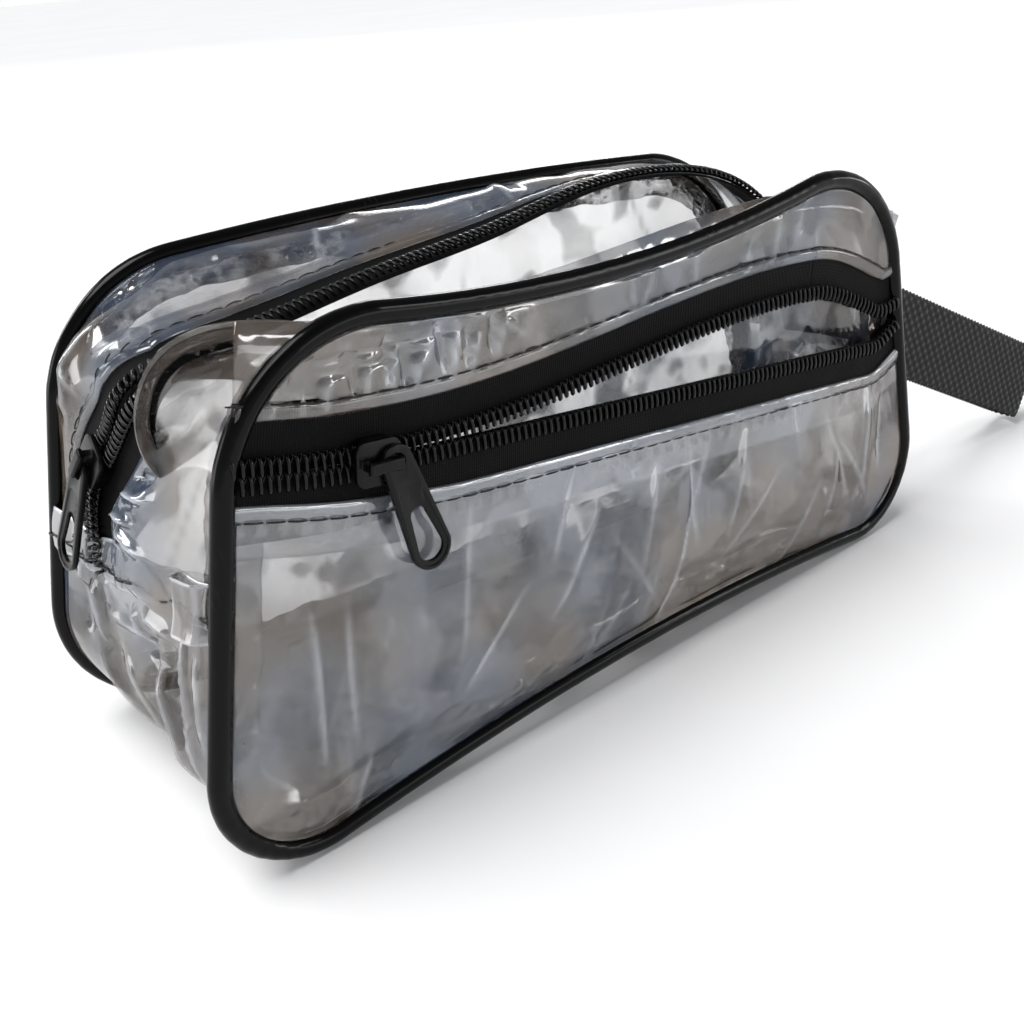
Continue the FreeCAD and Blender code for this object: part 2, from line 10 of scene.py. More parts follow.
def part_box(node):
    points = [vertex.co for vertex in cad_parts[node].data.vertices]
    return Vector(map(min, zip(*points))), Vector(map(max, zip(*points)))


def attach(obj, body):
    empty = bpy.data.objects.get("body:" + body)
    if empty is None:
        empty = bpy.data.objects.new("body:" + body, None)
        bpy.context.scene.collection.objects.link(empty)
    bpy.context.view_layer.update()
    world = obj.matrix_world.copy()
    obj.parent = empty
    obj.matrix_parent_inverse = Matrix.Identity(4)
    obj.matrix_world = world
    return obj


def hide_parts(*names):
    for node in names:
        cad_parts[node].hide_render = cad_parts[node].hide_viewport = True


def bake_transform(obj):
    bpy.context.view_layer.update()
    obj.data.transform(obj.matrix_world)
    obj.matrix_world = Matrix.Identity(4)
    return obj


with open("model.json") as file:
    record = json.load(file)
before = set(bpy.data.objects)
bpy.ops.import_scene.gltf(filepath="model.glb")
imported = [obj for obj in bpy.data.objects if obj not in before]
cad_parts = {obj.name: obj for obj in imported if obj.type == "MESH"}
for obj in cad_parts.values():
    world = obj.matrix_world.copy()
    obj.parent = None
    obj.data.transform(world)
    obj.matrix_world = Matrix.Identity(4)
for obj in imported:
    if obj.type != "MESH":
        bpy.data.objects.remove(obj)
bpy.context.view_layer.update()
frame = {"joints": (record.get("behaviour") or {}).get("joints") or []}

MM = 0.001


# ---- sizes, in millimetres
def box_mm(node):
    """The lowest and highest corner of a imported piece."""
    low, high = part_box(node)
    return np.array(low) / MM, np.array(high) / MM


FRONT_LOW, FRONT_HIGH = box_mm("front_piping")
FRONT_Y = (FRONT_LOW[1] + FRONT_HIGH[1]) / 2
BEAD = (FRONT_HIGH[1] - FRONT_LOW[1]) / 2
BASE_Z = FRONT_LOW[2] + BEAD
TOP_Z = box_mm("back_piping")[1][2] - BEAD
HEM_Z = box_mm("lower_gusset")[1][2]
LEAN = 0.217
LEAN_ANGLE = math.atan(LEAN)
TOP_CORNER = 32.5
FRONT_BASE_CORNER = 21.0
BACK_BASE_CORNER = 26.5
MID_BASE_CORNER = 30.0
FRONT_TOP_SAG = 5.7
FRONT_BASE_LIFT = 5.3
BACK_TOP_RISE = 3.9
BACK_TOP_DROP = 1.9
BACK_TURN = math.radians(6.7)
CORNER_LOSS = FRONT_BASE_CORNER * (1 / math.cos(LEAN_ANGLE) + LEAN - 1)
HALF_BASE = FRONT_HIGH[0] - BEAD + CORNER_LOSS
SEAM = BEAD + 0.3

FILM = 0.35
TAPE_OUT = 0.45
COIL_OUT = 0.6
COIL_HEIGHT = 2.0
COIL_WIDTH = 2.6
HALF_GAP = 0.7
COIL_PITCH = 1.8
TAPE_WIDTH = 13.0
TAPE_SHOWN = 10.0
HEM_BAND = 2.7
HEM_DEPTH = 10.0
STITCH_PITCH = 4.4

POCKET_RISE = 72.0
POCKET_SLOPE = 0.12
POCKET_END_START = 91.0
POCKET_END_REACH = 17.0
POCKET_END_RISE = 7.0
MOUTH_START = -64.2
MOUTH_PEAK = 64.0
MOUTH_END = 118.0
MOUTH_OPEN = 15.0


# ---- small geometry helpers
def smooth(ratio):
    """0 to 1 with level ends."""
    ratio = np.clip(ratio, 0, 1)
    return ratio * ratio * (3 - 2 * ratio)


def unit(vectors):
    return vectors / np.maximum(np.linalg.norm(vectors, axis=-1, keepdims=True), 1e-9)


def lengths(points):
    """Length along a line at each of its points."""
    steps = np.linalg.norm(np.diff(points, axis=0), axis=1)
    return np.concatenate([[0], np.cumsum(steps)])


def at_lengths(points, places):
    """Points of a line at given lengths along it."""
    along = lengths(points)
    return np.stack([np.interp(places, along, points[:, k]) for k in range(points.shape[1])], 1)


def resample(points, count):
    return at_lengths(points, np.linspace(0, lengths(points)[-1], count))


def curve_through(knots, count):
    """A smooth line through knots: a natural cubic spline by chord length, evenly spaced."""
    knots = np.asarray(knots, float)
    chord = lengths(knots)
    last = len(knots) - 1
    step = np.diff(chord)
    matrix = np.eye(last + 1)
    right = np.zeros_like(knots)
    for i in range(1, last):
        matrix[i, i - 1:i + 2] = step[i - 1], 2 * (step[i - 1] + step[i]), step[i]
        after, before = knots[i + 1] - knots[i], knots[i] - knots[i - 1]
        right[i] = 6 * (after / step[i] - before / step[i - 1])
    bend = np.linalg.solve(matrix, right)
    dense = np.linspace(0, chord[-1], count * 4)
    i = np.clip(np.searchsorted(chord, dense, side="right") - 1, 0, last - 1)
    a = ((chord[i + 1] - dense) / step[i])[:, None]
    b = 1 - a
    line = a * knots[i] + b * knots[i + 1]
    line += ((a**3 - a) * bend[i] + (b**3 - b) * bend[i + 1]) * (step[i] ** 2 / 6)[:, None]
    return resample(line, count)


def tangents(points):
    return unit(np.gradient(points, axis=0))


def wander(places, scale, seed, octaves=2):
    """Smooth noise between -1 and 1 at points, one value each."""
    shift = Vector((seed * 7.3, seed * 3.1, seed * 1.7))
    flat = places.reshape(-1, 3) / scale
    found = [noise.fractal(Vector(p) + shift, 1.0, 2.0, octaves) for p in flat.tolist()]
    return np.array(found).reshape(places.shape[:-1])


# ---- outlines of the two pipings
def half_width(z):
    """Half the bag's length at a height, to the middle of the piping on a straight end."""
    return HALF_BASE - LEAN * (z - BASE_Z)


def bowed_span(reach, level, radius, bow, side):
    """Corner angle and middle points, from x = 0 to the corner, of a base or top that dips in."""
    if bow == 0:
        return math.pi / 2, np.array([[0, level], [reach, level]], float)
    apart = (reach**2 + bow**2) / (2 * bow)
    swing = math.asin(reach / apart)
    turn = np.linspace(0, swing, 60)
    centre_z = level + side * (apart - radius - bow)
    span = np.stack([np.sin(turn), -side * np.cos(turn)], 1) * (apart - radius)
    return math.pi / 2 + swing, span + [0, centre_z]


def corner_arc(reach, z, radius, start, end):
    turn = np.linspace(start, end, 40)
    return np.stack([reach + radius * np.cos(turn), z + radius * np.sin(turn)], 1)


def half_outline(base_corner, lift, sag, base=BASE_Z):
    """Right half of an outline in XZ, from the middle of the base to the middle of the top."""
    low = base + base_corner
    low_reach = half_width(low) - base_corner / math.cos(LEAN_ANGLE)
    high = TOP_Z - TOP_CORNER
    high_reach = half_width(high) - TOP_CORNER / math.cos(LEAN_ANGLE)
    low_turn, bottom = bowed_span(low_reach, base, base_corner, lift, -1)
    high_turn, top = bowed_span(high_reach, TOP_Z, TOP_CORNER, sag, 1)
    low_arc = corner_arc(low_reach, low, base_corner, -low_turn, LEAN_ANGLE)
    high_arc = corner_arc(high_reach, high, TOP_CORNER, LEAN_ANGLE, high_turn)
    line = np.concatenate([bottom, low_arc, high_arc, top[::-1]])
    keep = np.concatenate([[True], np.linalg.norm(np.diff(line, axis=0), axis=1) > 1e-6])
    return resample(line[keep], 700)


def inwards(half, inset):
    """The same half outline moved towards the middle of the panel."""
    side = tangents(half)
    moved = half + np.stack([-side[:, 1], side[:, 0]], 1) * inset
    moved[0, 0] = moved[-1, 0] = 0
    return moved


def in_front(flat, forward=0.0):
    """XZ points in the front plane, or a distance behind it."""
    return np.stack([flat[..., 0], np.full(flat.shape[:-1], FRONT_Y + forward), flat[..., 1]], -1)


def in_back(flat, forward=0.0):
    """XZ points in the turned back plane, whose top bows up and drops towards the strap end."""
    x, z = flat[..., 0], flat[..., 1]
    share = smooth((z - 50) / 55)
    bow = BACK_TOP_RISE * np.clip(1 - (x / 92) ** 2, 0, 1)
    z = z + share * (bow - BACK_TOP_DROP * (0.5 + x / 230))
    turned_x = x * math.cos(BACK_TURN) + forward * math.sin(BACK_TURN)
    turned_y = forward * math.cos(BACK_TURN) - x * math.sin(BACK_TURN) - FRONT_Y
    return np.stack([turned_x, turned_y, z], -1)


FRONT_HALF = half_outline(FRONT_BASE_CORNER, FRONT_BASE_LIFT, FRONT_TOP_SAG)
BACK_HALF = half_outline(BACK_BASE_CORNER, 0, 0)
HALVES = {"front": (FRONT_HALF, in_front), "back": (BACK_HALF, in_back)}


def mirrored(half):
    return half * [-1, 1]


def ring(which, inset, forward=0.0, count=900):
    """The closed outline, starting at the middle of the base and going to the right end first."""
    half, place = HALVES[which]
    half = inwards(half, inset)
    whole = np.concatenate([half, mirrored(half)[::-1][1:-1]])
    closed = np.concatenate([whole, whole[:1]])
    return place(resample(closed, count + 1)[:-1], forward)


def upper_half(half, z):
    """The part of a half outline above a height on its straight side."""
    first = np.argmax((half[:, 1] > z) & (half[:, 0] > 60))
    return half[first:]


def lower_half(half, z):
    first = np.argmax((half[:, 1] > z) & (half[:, 0] > 60))
    return half[:first]


def over_top(which, z, inset, forward, count):
    """The outline from the left end over the top to the right end, above a height."""
    half, place = HALVES[which]
    part = upper_half(inwards(half, inset), z)
    return place(resample(np.concatenate([mirrored(part), part[::-1][1:]]), count), forward)


def corner_marks(half):
    """Lengths along a half outline at the middle of its base corner and of its top corner."""
    along = lengths(half)
    side = tangents(half)
    turned = np.arctan2(side[:, 1], side[:, 0])
    low = along[np.argmax(turned > math.pi / 4)]
    high = along[np.argmax(turned > math.radians(140))]
    return low, high


# ---- pocket zip
def zip_height(x):
    """Height of the pocket zip's closed line, which turns up a little at the strap end."""
    turned_up = smooth((x - POCKET_END_START) / POCKET_END_REACH)
    return POCKET_RISE - POCKET_SLOPE * x + turned_up * POCKET_END_RISE


def left_rise(x):
    """How much the chain lifts where it runs out under the piping at the zip end."""
    return 3.0 * smooth((-74 - x) / 34)


def lower_edge_rise(x):
    """How much the sheet's folded edge closes up on the chain towards the zip end."""
    return 4.4 * smooth((-44 - x) / 62)


def mouth_bow(x):
    """How far the upper half of the pocket zip stands off its closed line."""
    rising = (x - MOUTH_START) / (MOUTH_PEAK - MOUTH_START)
    falling = (MOUTH_END - x) / (MOUTH_END - MOUTH_PEAK)
    return MOUTH_OPEN * smooth(np.where(x < MOUTH_PEAK, rising, falling))


def side_of_zip(offset, bowed, inset=SEAM):
    """x of the two ends of a line along the pocket zip, where it meets the seam."""
    half = inwards(FRONT_HALF, inset)
    ends = []
    for sign in (-1, 1):
        line_z = zip_height(sign * half[:, 0]) + offset + left_rise(sign * half[:, 0])
        if bowed:
            line_z = line_z + mouth_bow(sign * half[:, 0])
        if offset < -5:
            line_z = line_z + lower_edge_rise(sign * half[:, 0])
        beyond = (half[:, 1] > line_z) & (half[:, 0] > 40)
        ends.append(sign * half[np.argmax(beyond), 0])
    return ends


def zip_line(offset, bowed, count=240, inset=SEAM, span=None, forward=0.0):
    """Points along the pocket zip at a distance above (or below) its line."""
    start, end = span or side_of_zip(offset, bowed, inset)
    x = np.linspace(start, end, count)
    z = zip_height(x) + offset + left_rise(x) + (mouth_bow(x) if bowed else 0)
    if offset < -5:
        z = z + lower_edge_rise(x)
    return in_front(np.stack([x, z], 1), -forward)


# ---- meshes
def put_in_scene(name, data):
    """A scene object round a mesh, a light or a camera."""
    obj = bpy.data.objects.new(name, data)
    bpy.context.scene.collection.objects.link(obj)
    return obj


def make_object(name, points, faces, material, uv, marks=None):
    """A mesh object from points in millimetres, with an optional UV map and point attributes."""
    mesh = bpy.data.meshes.new(name)
    points = np.asarray(points, float)
    mesh.from_pydata((points * MM).tolist(), [], faces)
    mesh.update()
    mesh.polygons.foreach_set("use_smooth", [True] * len(mesh.polygons))
    layer = mesh.uv_layers.new(name="surface")
    corners = np.zeros(len(mesh.loops), int)
    mesh.loops.foreach_get("vertex_index", corners)
    layer.data.foreach_set("uv", np.asarray(uv, float)[corners].ravel())
    for label, values in (marks or {}).items():
        attribute = mesh.attributes.new(label, "FLOAT", "POINT")
        attribute.data.foreach_set("value", np.asarray(values, np.float32).ravel())
    mesh.materials.append(material)
    return put_in_scene(name, mesh)


def grid_faces(rows, columns, offset=0, flip=False, wrap=False):
    """Quads of a grid of points, whose columns may close into a ring."""
    faces = []
    last = columns if wrap else columns - 1
    for i in range(rows - 1):
        for j in range(last):
            k = (j + 1) % columns
            quad = [offset + i * columns + j, offset + i * columns + k,
                    offset + (i + 1) * columns + k, offset + (i + 1) * columns + j]
            faces.append(quad[::-1] if flip else quad)
    return faces


def grid_normals(grid):
    return unit(np.cross(np.gradient(grid, axis=1), np.gradient(grid, axis=0)))


def sheet_faces(rows, columns, flip=False):
    """Faces of a sheet with two skins and a wall round its border."""
    back = rows * columns
    faces = grid_faces(rows, columns, 0, flip) + grid_faces(rows, columns, back, not flip)
    top = [(rows - 1) * columns + j for j in range(columns)]
    right = [i * columns + columns - 1 for i in range(rows)]
    left = [i * columns for i in range(rows)]
    border = list(range(columns)) + right[1:] + top[::-1][1:] + left[::-1][1:-1]
    for a, b in zip(border, border[1:] + border[:1]):
        quad = [a, a + back, b + back, b]
        faces.append(quad[::-1] if flip else quad)
    return faces


def turned_away(grid, out):
    """Whether a grid's own normals point against the way its piece faces."""
    return float((grid_normals(grid) * out).sum()) < 0


def film(name, grid, thickness, material, uv, marks=None, flip=False):
    """A thin closed sheet round a grid of points. Normals come from row x column unless flipped."""
    out = grid_normals(grid) * (-1 if flip else 1)
    points = np.concatenate([(grid + out * thickness / 2).reshape(-1, 3),
                             (grid - out * thickness / 2).reshape(-1, 3)])
    twice = {key: np.concatenate([np.ravel(value)] * 2) for key, value in (marks or {}).items()}
    flat_uv = np.concatenate([uv.reshape(-1, 2)] * 2)
    return make_object(name, points, sheet_faces(*grid.shape[:2], flip), material, flat_uv, twice)


def tube(name, line, radii, material, sides=16, closed=False, up=(0, 1, 0)):
    """A round tube along a line. radii has one value per point, or one per point and side."""
    if closed:
        ahead = unit(np.roll(line, -1, 0) - np.roll(line, 1, 0))
    else:
        ahead = tangents(line)
    across = unit(np.cross(ahead, np.asarray(up, float)))
    upright = np.cross(across, ahead)
    turn = np.linspace(0, 2 * math.pi, sides, endpoint=False)
    radii = np.broadcast_to(np.asarray(radii, float).reshape(-1, 1), (len(line), sides))
    ring_points = (across[:, None] * np.cos(turn)[None, :, None]
                   + upright[:, None] * np.sin(turn)[None, :, None])
    points = (line[:, None] + ring_points * radii[..., None]).reshape(-1, 3)
    rows = len(line)
    faces = grid_faces(rows, sides, wrap=True)
    if closed:
        last = (rows - 1) * sides
        for j in range(sides):
            k = (j + 1) % sides
            faces.append([last + j, last + k, k, j])
    else:
        faces.append(list(range(sides))[::-1])
        faces.append([(rows - 1) * sides + j for j in range(sides)])
    spacing = np.mean(np.linalg.norm(np.diff(line, axis=0), axis=1))
    along = np.repeat(np.arange(rows) * spacing, sides)
    around = np.tile(turn * np.mean(radii), rows)
    return make_object(name, points, faces, material, np.stack([along, around], 1))


def coons(bottom, top, left, right):
    """A grid that fills four border lines; left and right run upwards."""
    u = np.linspace(0, 1, len(bottom))[None, :, None]
    v = np.linspace(0, 1, len(left))[:, None, None]
    ruled = (1 - v) * bottom[None] + v * top[None] + (1 - u) * left[:, None] + u * right[:, None]
    corners = ((1 - u) * (1 - v) * bottom[0] + u * (1 - v) * bottom[-1]
               + (1 - u) * v * top[0] + u * v * top[-1])
    return ruled - corners


# ---- folds in clear film
def fold(surface, start, end, width, height, crest=0.7, taper=0.35):
    """Height and pale crest mask of one crease between two places on a sheet, in its own mm."""
    start, end = np.asarray(start, float), np.asarray(end, float)
    along = end - start
    share = np.clip(((surface - start) @ along) / (along @ along), 0, 1)
    apart = np.linalg.norm(surface - (start + share[..., None] * along), axis=-1)
    ends = smooth(share / taper) * smooth((1 - share) / taper)
    lift = np.exp(-np.sqrt((apart / width) ** 2 + 0.04) + 0.2) * ends * height
    mask = np.exp(-(apart / crest) ** 2) * ends
    return lift, mask


def crumple(surface, folds):
    """Sum of folds: lift in mm, and the strongest crest mask at each point."""
    lift = np.zeros(surface.shape[:2])
    mask = np.zeros(surface.shape[:2])
    for start, end, width, height in folds:
        one_lift, one_mask = fold(surface, start, end, width, height)
        lift += one_lift
        mask = np.maximum(mask, one_mask * min(1.0, abs(height) / 1.2))
    return lift, mask


def random_folds(rng, count, span_a, span_b, length, lean, width, height):
    """Creases strewn over a sheet; lean is their direction in degrees and its spread."""
    folds = []
    for _ in range(count):
        a, b = rng.uniform(*span_a), rng.uniform(*span_b)
        reach = rng.uniform(*length) / 2
        turn = math.radians(rng.normal(*lean))
        step = np.array([math.cos(turn), math.sin(turn)]) * reach
        size = rng.uniform(*height) * rng.choice([-1, 1])
        folds.append((np.array([a, b]) - step, np.array([a, b]) + step, rng.uniform(*width), size))
    return folds


# ---- node groups and materials
def new_group(name, inputs, outputs):
    """A shader group with named inputs and outputs: the tree, its wiring and its input sockets."""
    tree = bpy.data.node_groups.new(name, "ShaderNodeTree")
    kinds = {float: "NodeSocketFloat", tuple: "NodeSocketColor"}
    for label, value in inputs.items():
        kind = kinds[type(value)]
        socket = tree.interface.new_socket(label, in_out="INPUT", socket_type=kind)
        socket.default_value = value
    for label in outputs:
        kind = kinds[tuple if label == "Colour" else float]
        tree.interface.new_socket(label, in_out="OUTPUT", socket_type=kind)
    return tree, Wiring(tree), tree.nodes.new("NodeGroupInput").outputs


def close_group(tree, **results):
    sink = tree.nodes.new("NodeGroupOutput")
    for label, value in results.items():
        tree.links.new(value, sink.inputs[label])
    return tree


class Wiring:
    """Short ways to add linked nodes to a tree."""

    def __init__(self, tree):
        self.tree = tree

    def put(self, value, socket):
        if isinstance(value, bpy.types.NodeSocket):
            self.tree.links.new(value, socket)
        elif value is not None:
            socket.default_value = value

    def node(self, kind, settings=None, **inputs):
        made = self.tree.nodes.new(kind)
        for key, value in (settings or {}).items():
            setattr(made, key, value)
        for key, value in inputs.items():
            self.put(value, made.inputs[key.replace("_", " ")])
        return made

    def math(self, operation, a, b=None, clamp=False):
        made = self.tree.nodes.new("ShaderNodeMath")
        made.operation = operation
        made.use_clamp = clamp
        self.put(a, made.inputs[0])
        self.put(b, made.inputs[1])
        return made.outputs[0]

    def times(self, first, *others):
        for other in others:
            first = self.math("MULTIPLY", first, other)
        return first

    def plus(self, first, *others):
        for other in others:
            first = self.math("ADD", first, other)
        return first

    def span(self, value, low, high, to_low=0.0, to_high=1.0):
        """Stretches a value from one range to another, clamped."""
        made = self.tree.nodes.new("ShaderNodeMapRange")
        self.put(value, made.inputs["Value"])
        for label, number in (("From Min", low), ("From Max", high),
                              ("To Min", to_low), ("To Max", to_high)):
            self.put(number, made.inputs[label])
        return made.outputs[0]

    def mix(self, share, a, b):
        made = self.tree.nodes.new("ShaderNodeMix")
        made.data_type = "RGBA"
        self.put(share, made.inputs[0])
        self.put(a, made.inputs[6])
        self.put(b, made.inputs[7])
        return made.outputs[2]

    def noise(self, vector, scale, detail=3.0, rough=0.5):
        made = self.node("ShaderNodeTexNoise", Vector=vector, Scale=scale, Detail=detail)
        made.inputs["Roughness"].default_value = rough
        return made.outputs["Fac"]

    def mark(self, name):
        """A point attribute as a number."""
        made = self.tree.nodes.new("ShaderNodeAttribute")
        made.attribute_name = name
        return made.outputs["Fac"]


def grey(value):
    return (value, value, value, 1.0)


def build_grain_group():
    """Fine moulded grain, broad unevenness and faint scratches on a hard or rubbery skin."""
    tree, wire, given = new_group(
        "skin_grain", {"Colour": grey(0.02), "Worn Colour": grey(0.06), "Grain Scale": 900.0,
                       "Base Roughness": 0.3, "Unevenness": 0.1}, ["Colour", "Roughness", "Height"])
    place = wire.node("ShaderNodeTexCoord").outputs["Object"]
    fine = wire.noise(place, given["Grain Scale"], 2.0)
    broad = wire.noise(place, 45.0, 3.0)
    stretched = wire.node("ShaderNodeMapping", Vector=place)
    stretched.inputs["Scale"].default_value = (1400.0, 300.0, 220.0)
    scratch = wire.span(wire.noise(stretched.outputs[0], 1.0, 1.0), 0.63, 0.72)
    worn = wire.times(scratch, wire.span(broad, 0.45, 0.65))
    spread = wire.times(wire.math("SUBTRACT", broad, 0.5), given["Unevenness"])
    rough = wire.plus(given["Base Roughness"], spread)
    return close_group(
        tree, Colour=wire.mix(worn, given["Colour"], given["Worn Colour"]),
        Roughness=wire.math("ADD", rough, wire.times(worn, 0.15), clamp=True),
        Height=wire.plus(wire.times(fine, 0.35), wire.times(broad, 0.65)))


def build_rib_group():
    """Cross ribs and yarn unevenness of woven tape and webbing, along the piece's own UV map."""
    tree, wire, given = new_group(
        "woven_ribs", {"Colour": grey(0.012), "Lit Colour": grey(0.05), "Rib Pitch": 0.6,
                       "Yarn Pitch": 0.45}, ["Colour", "Roughness", "Height"])
    uv = wire.node("ShaderNodeUVMap", {"uv_map": "surface"}).outputs[0]
    parts = wire.node("ShaderNodeSeparateXYZ", Vector=uv)

    def wave(value, pitch):
        turns = wire.math("DIVIDE", value, pitch)
        swing = wire.math("SINE", wire.times(turns, 2 * math.pi))
        return wire.plus(wire.times(swing, 0.5), 0.5)

    ribs = wave(parts.outputs["X"], given["Rib Pitch"])
    yarn = wave(parts.outputs["Y"], given["Yarn Pitch"])
    fuzz = wire.noise(uv, 6.0, 3.0, 0.65)
    broad = wire.noise(uv, 0.12, 2.0)
    weave = wire.times(ribs, wire.span(yarn, 0, 1, 0.55, 1.0))
    lit = wire.times(weave, wire.span(fuzz, 0.35, 0.7), wire.span(broad, 0.35, 0.65, 0.45, 1.0))
    return close_group(
        tree, Colour=wire.mix(lit, given["Colour"], given["Lit Colour"]),
        Roughness=wire.span(lit, 0, 1, 0.75, 0.5), Height=wire.plus(weave, wire.times(fuzz, 0.35)))


def build_film_group():
    """Tints, haze and scuffs of clear vinyl film, brown patches that are partly its own tint and
    partly a painted reflection, pale creases that are partly stress whitening and partly a painted
    highlight, and dark puckers that are painted shade.
    """
    tree, wire, given = new_group(
        "vinyl_film", {"Cool Tint": (0.11, 0.13, 0.16, 1), "Warm Tint": (0.13, 0.105, 0.09, 1),
                       "Crease Colour": (0.80, 0.84, 0.90, 1), "Body": 0.15, "Patchiness": 0.5,
                       "Fold": 0.0, "Hem": 0.0, "Shade": 0.0},
        ["Colour", "Mask", "Roughness", "Height"])
    creased, hem, shade = given["Fold"], given["Hem"], given["Shade"]
    place = wire.node("ShaderNodeTexCoord").outputs["Object"]
    broad = wire.noise(place, 30.0, 3.0, 0.45)
    patch = wire.noise(place, 62.0, 2.0, 0.4)
    # Brown patches across the film: partly its own tint, partly a painted reflection of a brown
    # room.
    tint_and_reflection_share = wire.span(wire.noise(place, 21.0, 2.0), 0.44, 0.58)
    fine = wire.noise(place, 700.0, 3.0)
    streaks = wire.node("ShaderNodeMapping", Vector=place)
    streaks.inputs["Scale"].default_value = (260.0, 900.0, 60.0)
    scuff = wire.span(wire.noise(streaks.outputs[0], 1.0, 2.0), 0.62, 0.75)
    # Creases turn pale toward the crease colour: partly stress whitening, partly a painted
    # highlight. Scuffs and the doubled hem are paler too.
    pale = wire.math("MAXIMUM", wire.times(creased, 0.55), wire.times(scuff, 0.15))
    pale = wire.math("ADD", pale, wire.times(hem, 0.35), clamp=True)
    tint = wire.mix(tint_and_reflection_share, given["Cool Tint"], given["Warm Tint"])
    colour = wire.mix(pale, tint, given["Crease Colour"])
    swing = wire.times(wire.span(patch, 0.5, 0.56), given["Patchiness"])
    density = wire.times(wire.span(broad, 0.40, 0.56, 0.72, 1.35), wire.plus(1.0, swing))
    mask = wire.plus(wire.times(given["Body"], density), wire.times(creased, 0.16),
                     wire.times(hem, 0.28), wire.times(shade, 0.6))
    # The Shade mark paints near-black shade into puckers and crackles.
    return close_group(
        tree, Colour=wire.mix(shade, colour, (0.012, 0.009, 0.009, 1)),
        Mask=wire.math("ADD", mask, wire.times(scuff, 0.03), clamp=True),
        Roughness=wire.span(broad, 0.3, 0.7, 0.04, 0.13),
        Height=wire.plus(wire.times(patch, 0.9), wire.times(fine, 0.03)))


GRAIN = build_grain_group()
RIBS = build_rib_group()
FILM_MARKS = build_film_group()


def start_material(name):
    material = bpy.data.materials.new(name)
    material.use_nodes = True
    tree = material.node_tree
    shader = next(n for n in tree.nodes if n.type == "BSDF_PRINCIPLED")
    return material, Wiring(tree), shader


def place_group(wire, tree, **values):
    return wire.node("ShaderNodeGroup", {"node_tree": tree}, **values)


def bump(wire, height, distance, strength, shader):
    made = wire.node("ShaderNodeBump", Height=height, Distance=distance, Strength=strength)
    wire.put(made.outputs[0], shader.inputs["Normal"])


def skin_material(name, colour, worn, roughness, grain, depth, specular, unevenness=0.1):
    """Solid black plastics, enamel and thread."""
    material, wire, shader = start_material(name)
    grain_node = place_group(wire, GRAIN, Colour=colour, Worn_Colour=worn, Grain_Scale=grain,
                             Base_Roughness=roughness, Unevenness=unevenness)
    wire.put(grain_node.outputs["Colour"], shader.inputs["Base Color"])
    wire.put(grain_node.outputs["Roughness"], shader.inputs["Roughness"])
    bump(wire, grain_node.outputs["Height"], depth * MM, 1.0, shader)
    shader.inputs["Specular IOR Level"].default_value = specular
    return material


def woven_material(name, colour, lit, rib, yarn, depth, crowned=False):
    """Zip tape and webbing; on webbing the raised crossings are smoother and carry a painted
    highlight.
    """
    material, wire, shader = start_material(name)
    ribs = place_group(wire, RIBS, Colour=colour, Lit_Colour=lit, Rib_Pitch=rib, Yarn_Pitch=yarn)
    tint, rough = ribs.outputs["Colour"], ribs.outputs["Roughness"]
    if crowned:
        # Crowns of the weave: the lighter grey is a painted highlight, the lower roughness their
        # smoother finish.
        crown = wire.span(wire.mark("crown"), 0.35, 1.0)
        tint = wire.mix(crown, tint, grey(0.03))
        rough = wire.math("SUBTRACT", rough, wire.times(crown, 0.3))
    wire.put(tint, shader.inputs["Base Color"])
    wire.put(rough, shader.inputs["Roughness"])
    bump(wire, ribs.outputs["Height"], depth * MM, 1.0, shader)
    shader.inputs["Specular IOR Level"].default_value = 0.4 if crowned else 0.1
    return material


def film_material(name, cool, brown_tint_and_reflection, body, rim, patchiness, depth):
    """Clear vinyl: see-through face on, denser where it turns away, pale along its creases, partly
    from stress whitening and partly as a painted highlight.
    """
    material, wire, shader = start_material(name)
    marks = place_group(wire, FILM_MARKS, Cool_Tint=cool, Warm_Tint=brown_tint_and_reflection, Body=body,
                        Patchiness=patchiness, Fold=wire.mark("fold"), Hem=wire.mark("hem"),
                        Shade=wire.mark("shade"))
    wire.put(marks.outputs["Colour"], shader.inputs["Base Color"])
    wire.put(marks.outputs["Roughness"], shader.inputs["Roughness"])
    bump(wire, marks.outputs["Height"], depth * MM, 1.0, shader)
    facing = wire.node("ShaderNodeLayerWeight", Blend=0.35).outputs["Facing"]
    turned = wire.times(wire.math("POWER", facing, 2.5), rim)
    wire.put(wire.math("ADD", marks.outputs["Mask"], turned, clamp=True), shader.inputs["Alpha"])
    shader.inputs["IOR"].default_value = 2.6
    shader.inputs["Specular IOR Level"].default_value = 0.6
    return material


CLEAR = film_material("clear_vinyl", (0.06, 0.083, 0.125, 1), (0.115, 0.082, 0.055, 1),
                      0.23, 0.4, 0.9, 0.35)
CLEAR_INSIDE = film_material("clear_vinyl_inside", (0.06, 0.085, 0.13, 1), (0.12, 0.085, 0.06, 1),
                             0.18, 0.3, 1.4, 0.4)
CLEAR_END = film_material("clear_vinyl_gusset", (0.07, 0.09, 0.13, 1), (0.10, 0.075, 0.055, 1),
                          0.28, 0.5, 1.0, 0.5)
CLEAR_FLAP = film_material("clear_vinyl_allowance", (0.08, 0.075, 0.08, 1), (0.12, 0.085, 0.055, 1),
                           0.38, 0.5, 0.9, 0.7)
PIPING_SKIN = skin_material("piping_black_vinyl", grey(0.0015), grey(0.005), 0.16, 500, 0.03,
                            specular=0.15, unevenness=0.12)
COIL_NYLON = skin_material("coil_black_nylon", grey(0.0015), grey(0.006), 0.22, 1500, 0.01,
                           specular=0.24)
ENAMEL = skin_material("slider_black_enamel", grey(0.002), grey(0.015), 0.27, 1100, 0.012,
                       specular=0.2, unevenness=0.15)
THREAD = skin_material("black_thread", grey(0.004), grey(0.03), 0.5, 2500, 0.05, specular=0.4)
TAPE = woven_material("zip_tape_weave", grey(0.002), grey(0.010), 0.55, 0.8, 0.08)
WEBBING = woven_material("strap_webbing_weave", grey(0.002), grey(0.010), 0.4, 0.35, 0.05, True)


